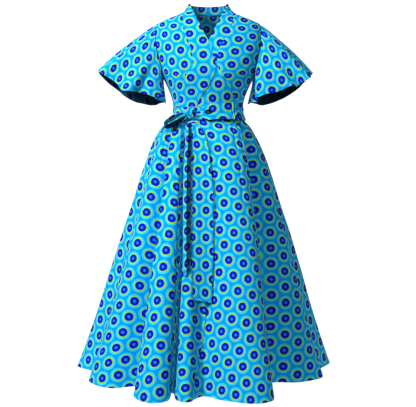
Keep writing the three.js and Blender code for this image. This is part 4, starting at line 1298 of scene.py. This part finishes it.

# %% [markdown]
# ## Saying what each sheet is
# A sheet keeps its size however it hangs. The stand collar is faced with the same cloth, right
# side out, down to the neck seam, painted a little darker as shade. The insides of the sleeves
# and the bow, and the marked hollows of the bow and its short end, are painted in deep shade, and
# every other inside is the faded wrong side, painted darker as shade.

# %% Finishes and sheets
# Pieces whose insides, and whose faces marked for shade, take the deepest painted shade.
SHADED = "sash_knot sleeve_right sleeve_left sash_loop_right sash_loop_left sash_end_short".split()
INNER_SIDE = {"collar": FACING_IN_SHADE, **dict.fromkeys(SHADED, SHADED_SIDE)}


def cut_size(cut):
    """The width and length of the cut, and the area of its quads by half the cross product of
    their diagonals."""
    p, q = cut[1:, 1:] - cut[:-1, :-1], cut[:-1, 1:] - cut[1:, :-1]
    area = np.abs(p[..., 0] * q[..., 1] - p[..., 1] * q[..., 0]).sum() / 2
    return np.ptp(cut.reshape(-1, 2), axis=0), float(area)


for name, row in made.items():
    piece = row["piece"]
    piece.data.materials.append(RIGHT_SIDE)
    piece.data.materials.append(INNER_SIDE.get(name, REVERSE_IN_SHADE))
    # The collar's third finish is the painted shadow just above the neck seam.
    if name == "collar":
        piece.data.materials.append(SHADED_SIDE)
    if name == "sash_knot":
        continue
    size, area = cut_size(row["cut"])
    size = tuple(float(s) for s in size)
    print(f"{name}: cut {size[0]:.3f} by {size[1]:.3f} m, {area:.3f} square metres")

# %% [markdown]
# ## The studio
# A bright white sweep with a short floor in front, and three square lights: a small key high on
# the left, whose shadows are crisp enough to draw the folds, a weaker and larger fill that is
# nearly frontal, and a soft one from above. The room adds little, so the hollows stay dark.

# %% Floor, backdrop and lights
FLOOR, NEAR, FAR = -1.52, -0.45, 5.0  # metres: the floor's height, its front edge and its back one
BEND, WALL, HALF_WIDE = 1.5, 3.0, 7.0
MIDDLE = (0.0, 0.0, -0.65)
ROOM_LIGHT = 0.04
LIGHTS = (  # name, place, aim, size in metres, watts
    ("key", (-2.2, -2.3, 1.1), (0.0, 0.0, -0.4), 0.45, 120),
    ("fill", (0.3, -2.9, 0.6), (0.0, 0.0, -0.2), 0.8, 27),
    ("top", (0.0, -0.8, 2.4), MIDDLE, 1.6, 20),
)


def plain(name, shade, glow):
    """A matt pale surface with a little light of its own."""
    finish = Finish(name)
    grain = finish.noise(finish.add("ShaderNodeTexCoord", output=3), 3.0, 2.0)
    pale = finish.mix(grain * 0.05, (*[shade] * 3, 1.0), (*[shade * 0.96] * 3, 1.0))
    return finish.end(Base_Color=pale, Roughness=0.9, Emission_Color=(1.0,) * 4,
                      Emission_Strength=glow)


def sweep():
    """The floor runs back and curves up into a wall: a profile of a straight, a quarter circle
    and a straight, carried across."""
    turn = np.linspace(0, QUARTER, 24)
    y = np.concatenate([[NEAR], FAR + BEND * np.sin(turn), [FAR + BEND]])
    z = np.concatenate([[FLOOR], FLOOR + BEND * (1 - np.cos(turn)), [FLOOR + BEND + WALL]])
    x = np.array([-HALF_WIDE, HALF_WIDE])
    points = np.stack([np.tile(x, len(y)), np.repeat(y, 2), np.repeat(z, 2)], -1)
    faces = [(2 * i, 2 * i + 1, 2 * i + 3, 2 * i + 2) for i in range(len(y) - 1)]
    mesh = bpy.data.meshes.new("sweep")
    mesh.from_pydata(points.tolist(), [], faces)
    mesh.polygons.foreach_set("use_smooth", np.ones(len(faces), bool))
    mesh.materials.append(plain("pale_sweep", 0.3, 1.0))
    ground = bpy.data.objects.new("sweep", mesh)
    bpy.context.scene.collection.objects.link(ground)


def soft_light(name, place, aim, size, watts):
    """A square light of that size that faces a point: its yaw and pitch are those of the line
    from the point to it."""
    data = bpy.data.lights.new(name, "AREA")
    data.shape, data.size, data.energy = "SQUARE", size, watts
    lamp = bpy.data.objects.new(name, data)
    lamp.location = place
    back = unit(np.array(place, float) - np.array(aim, float))
    lamp.rotation_euler = (np.arccos(back[2]), 0.0, np.arctan2(back[0], -back[1]))
    bpy.context.scene.collection.objects.link(lamp)


sweep()
for light in LIGHTS:
    soft_light(*light)
world = bpy.data.worlds.new("room")
bpy.context.scene.world = world
world.use_nodes = True
room = world.node_tree.nodes["Background"]
room.inputs[0].default_value = (1.0, 1.0, 1.0, 1.0)
room.inputs[1].default_value = ROOM_LIGHT
print("lights", [light[0] for light in LIGHTS])
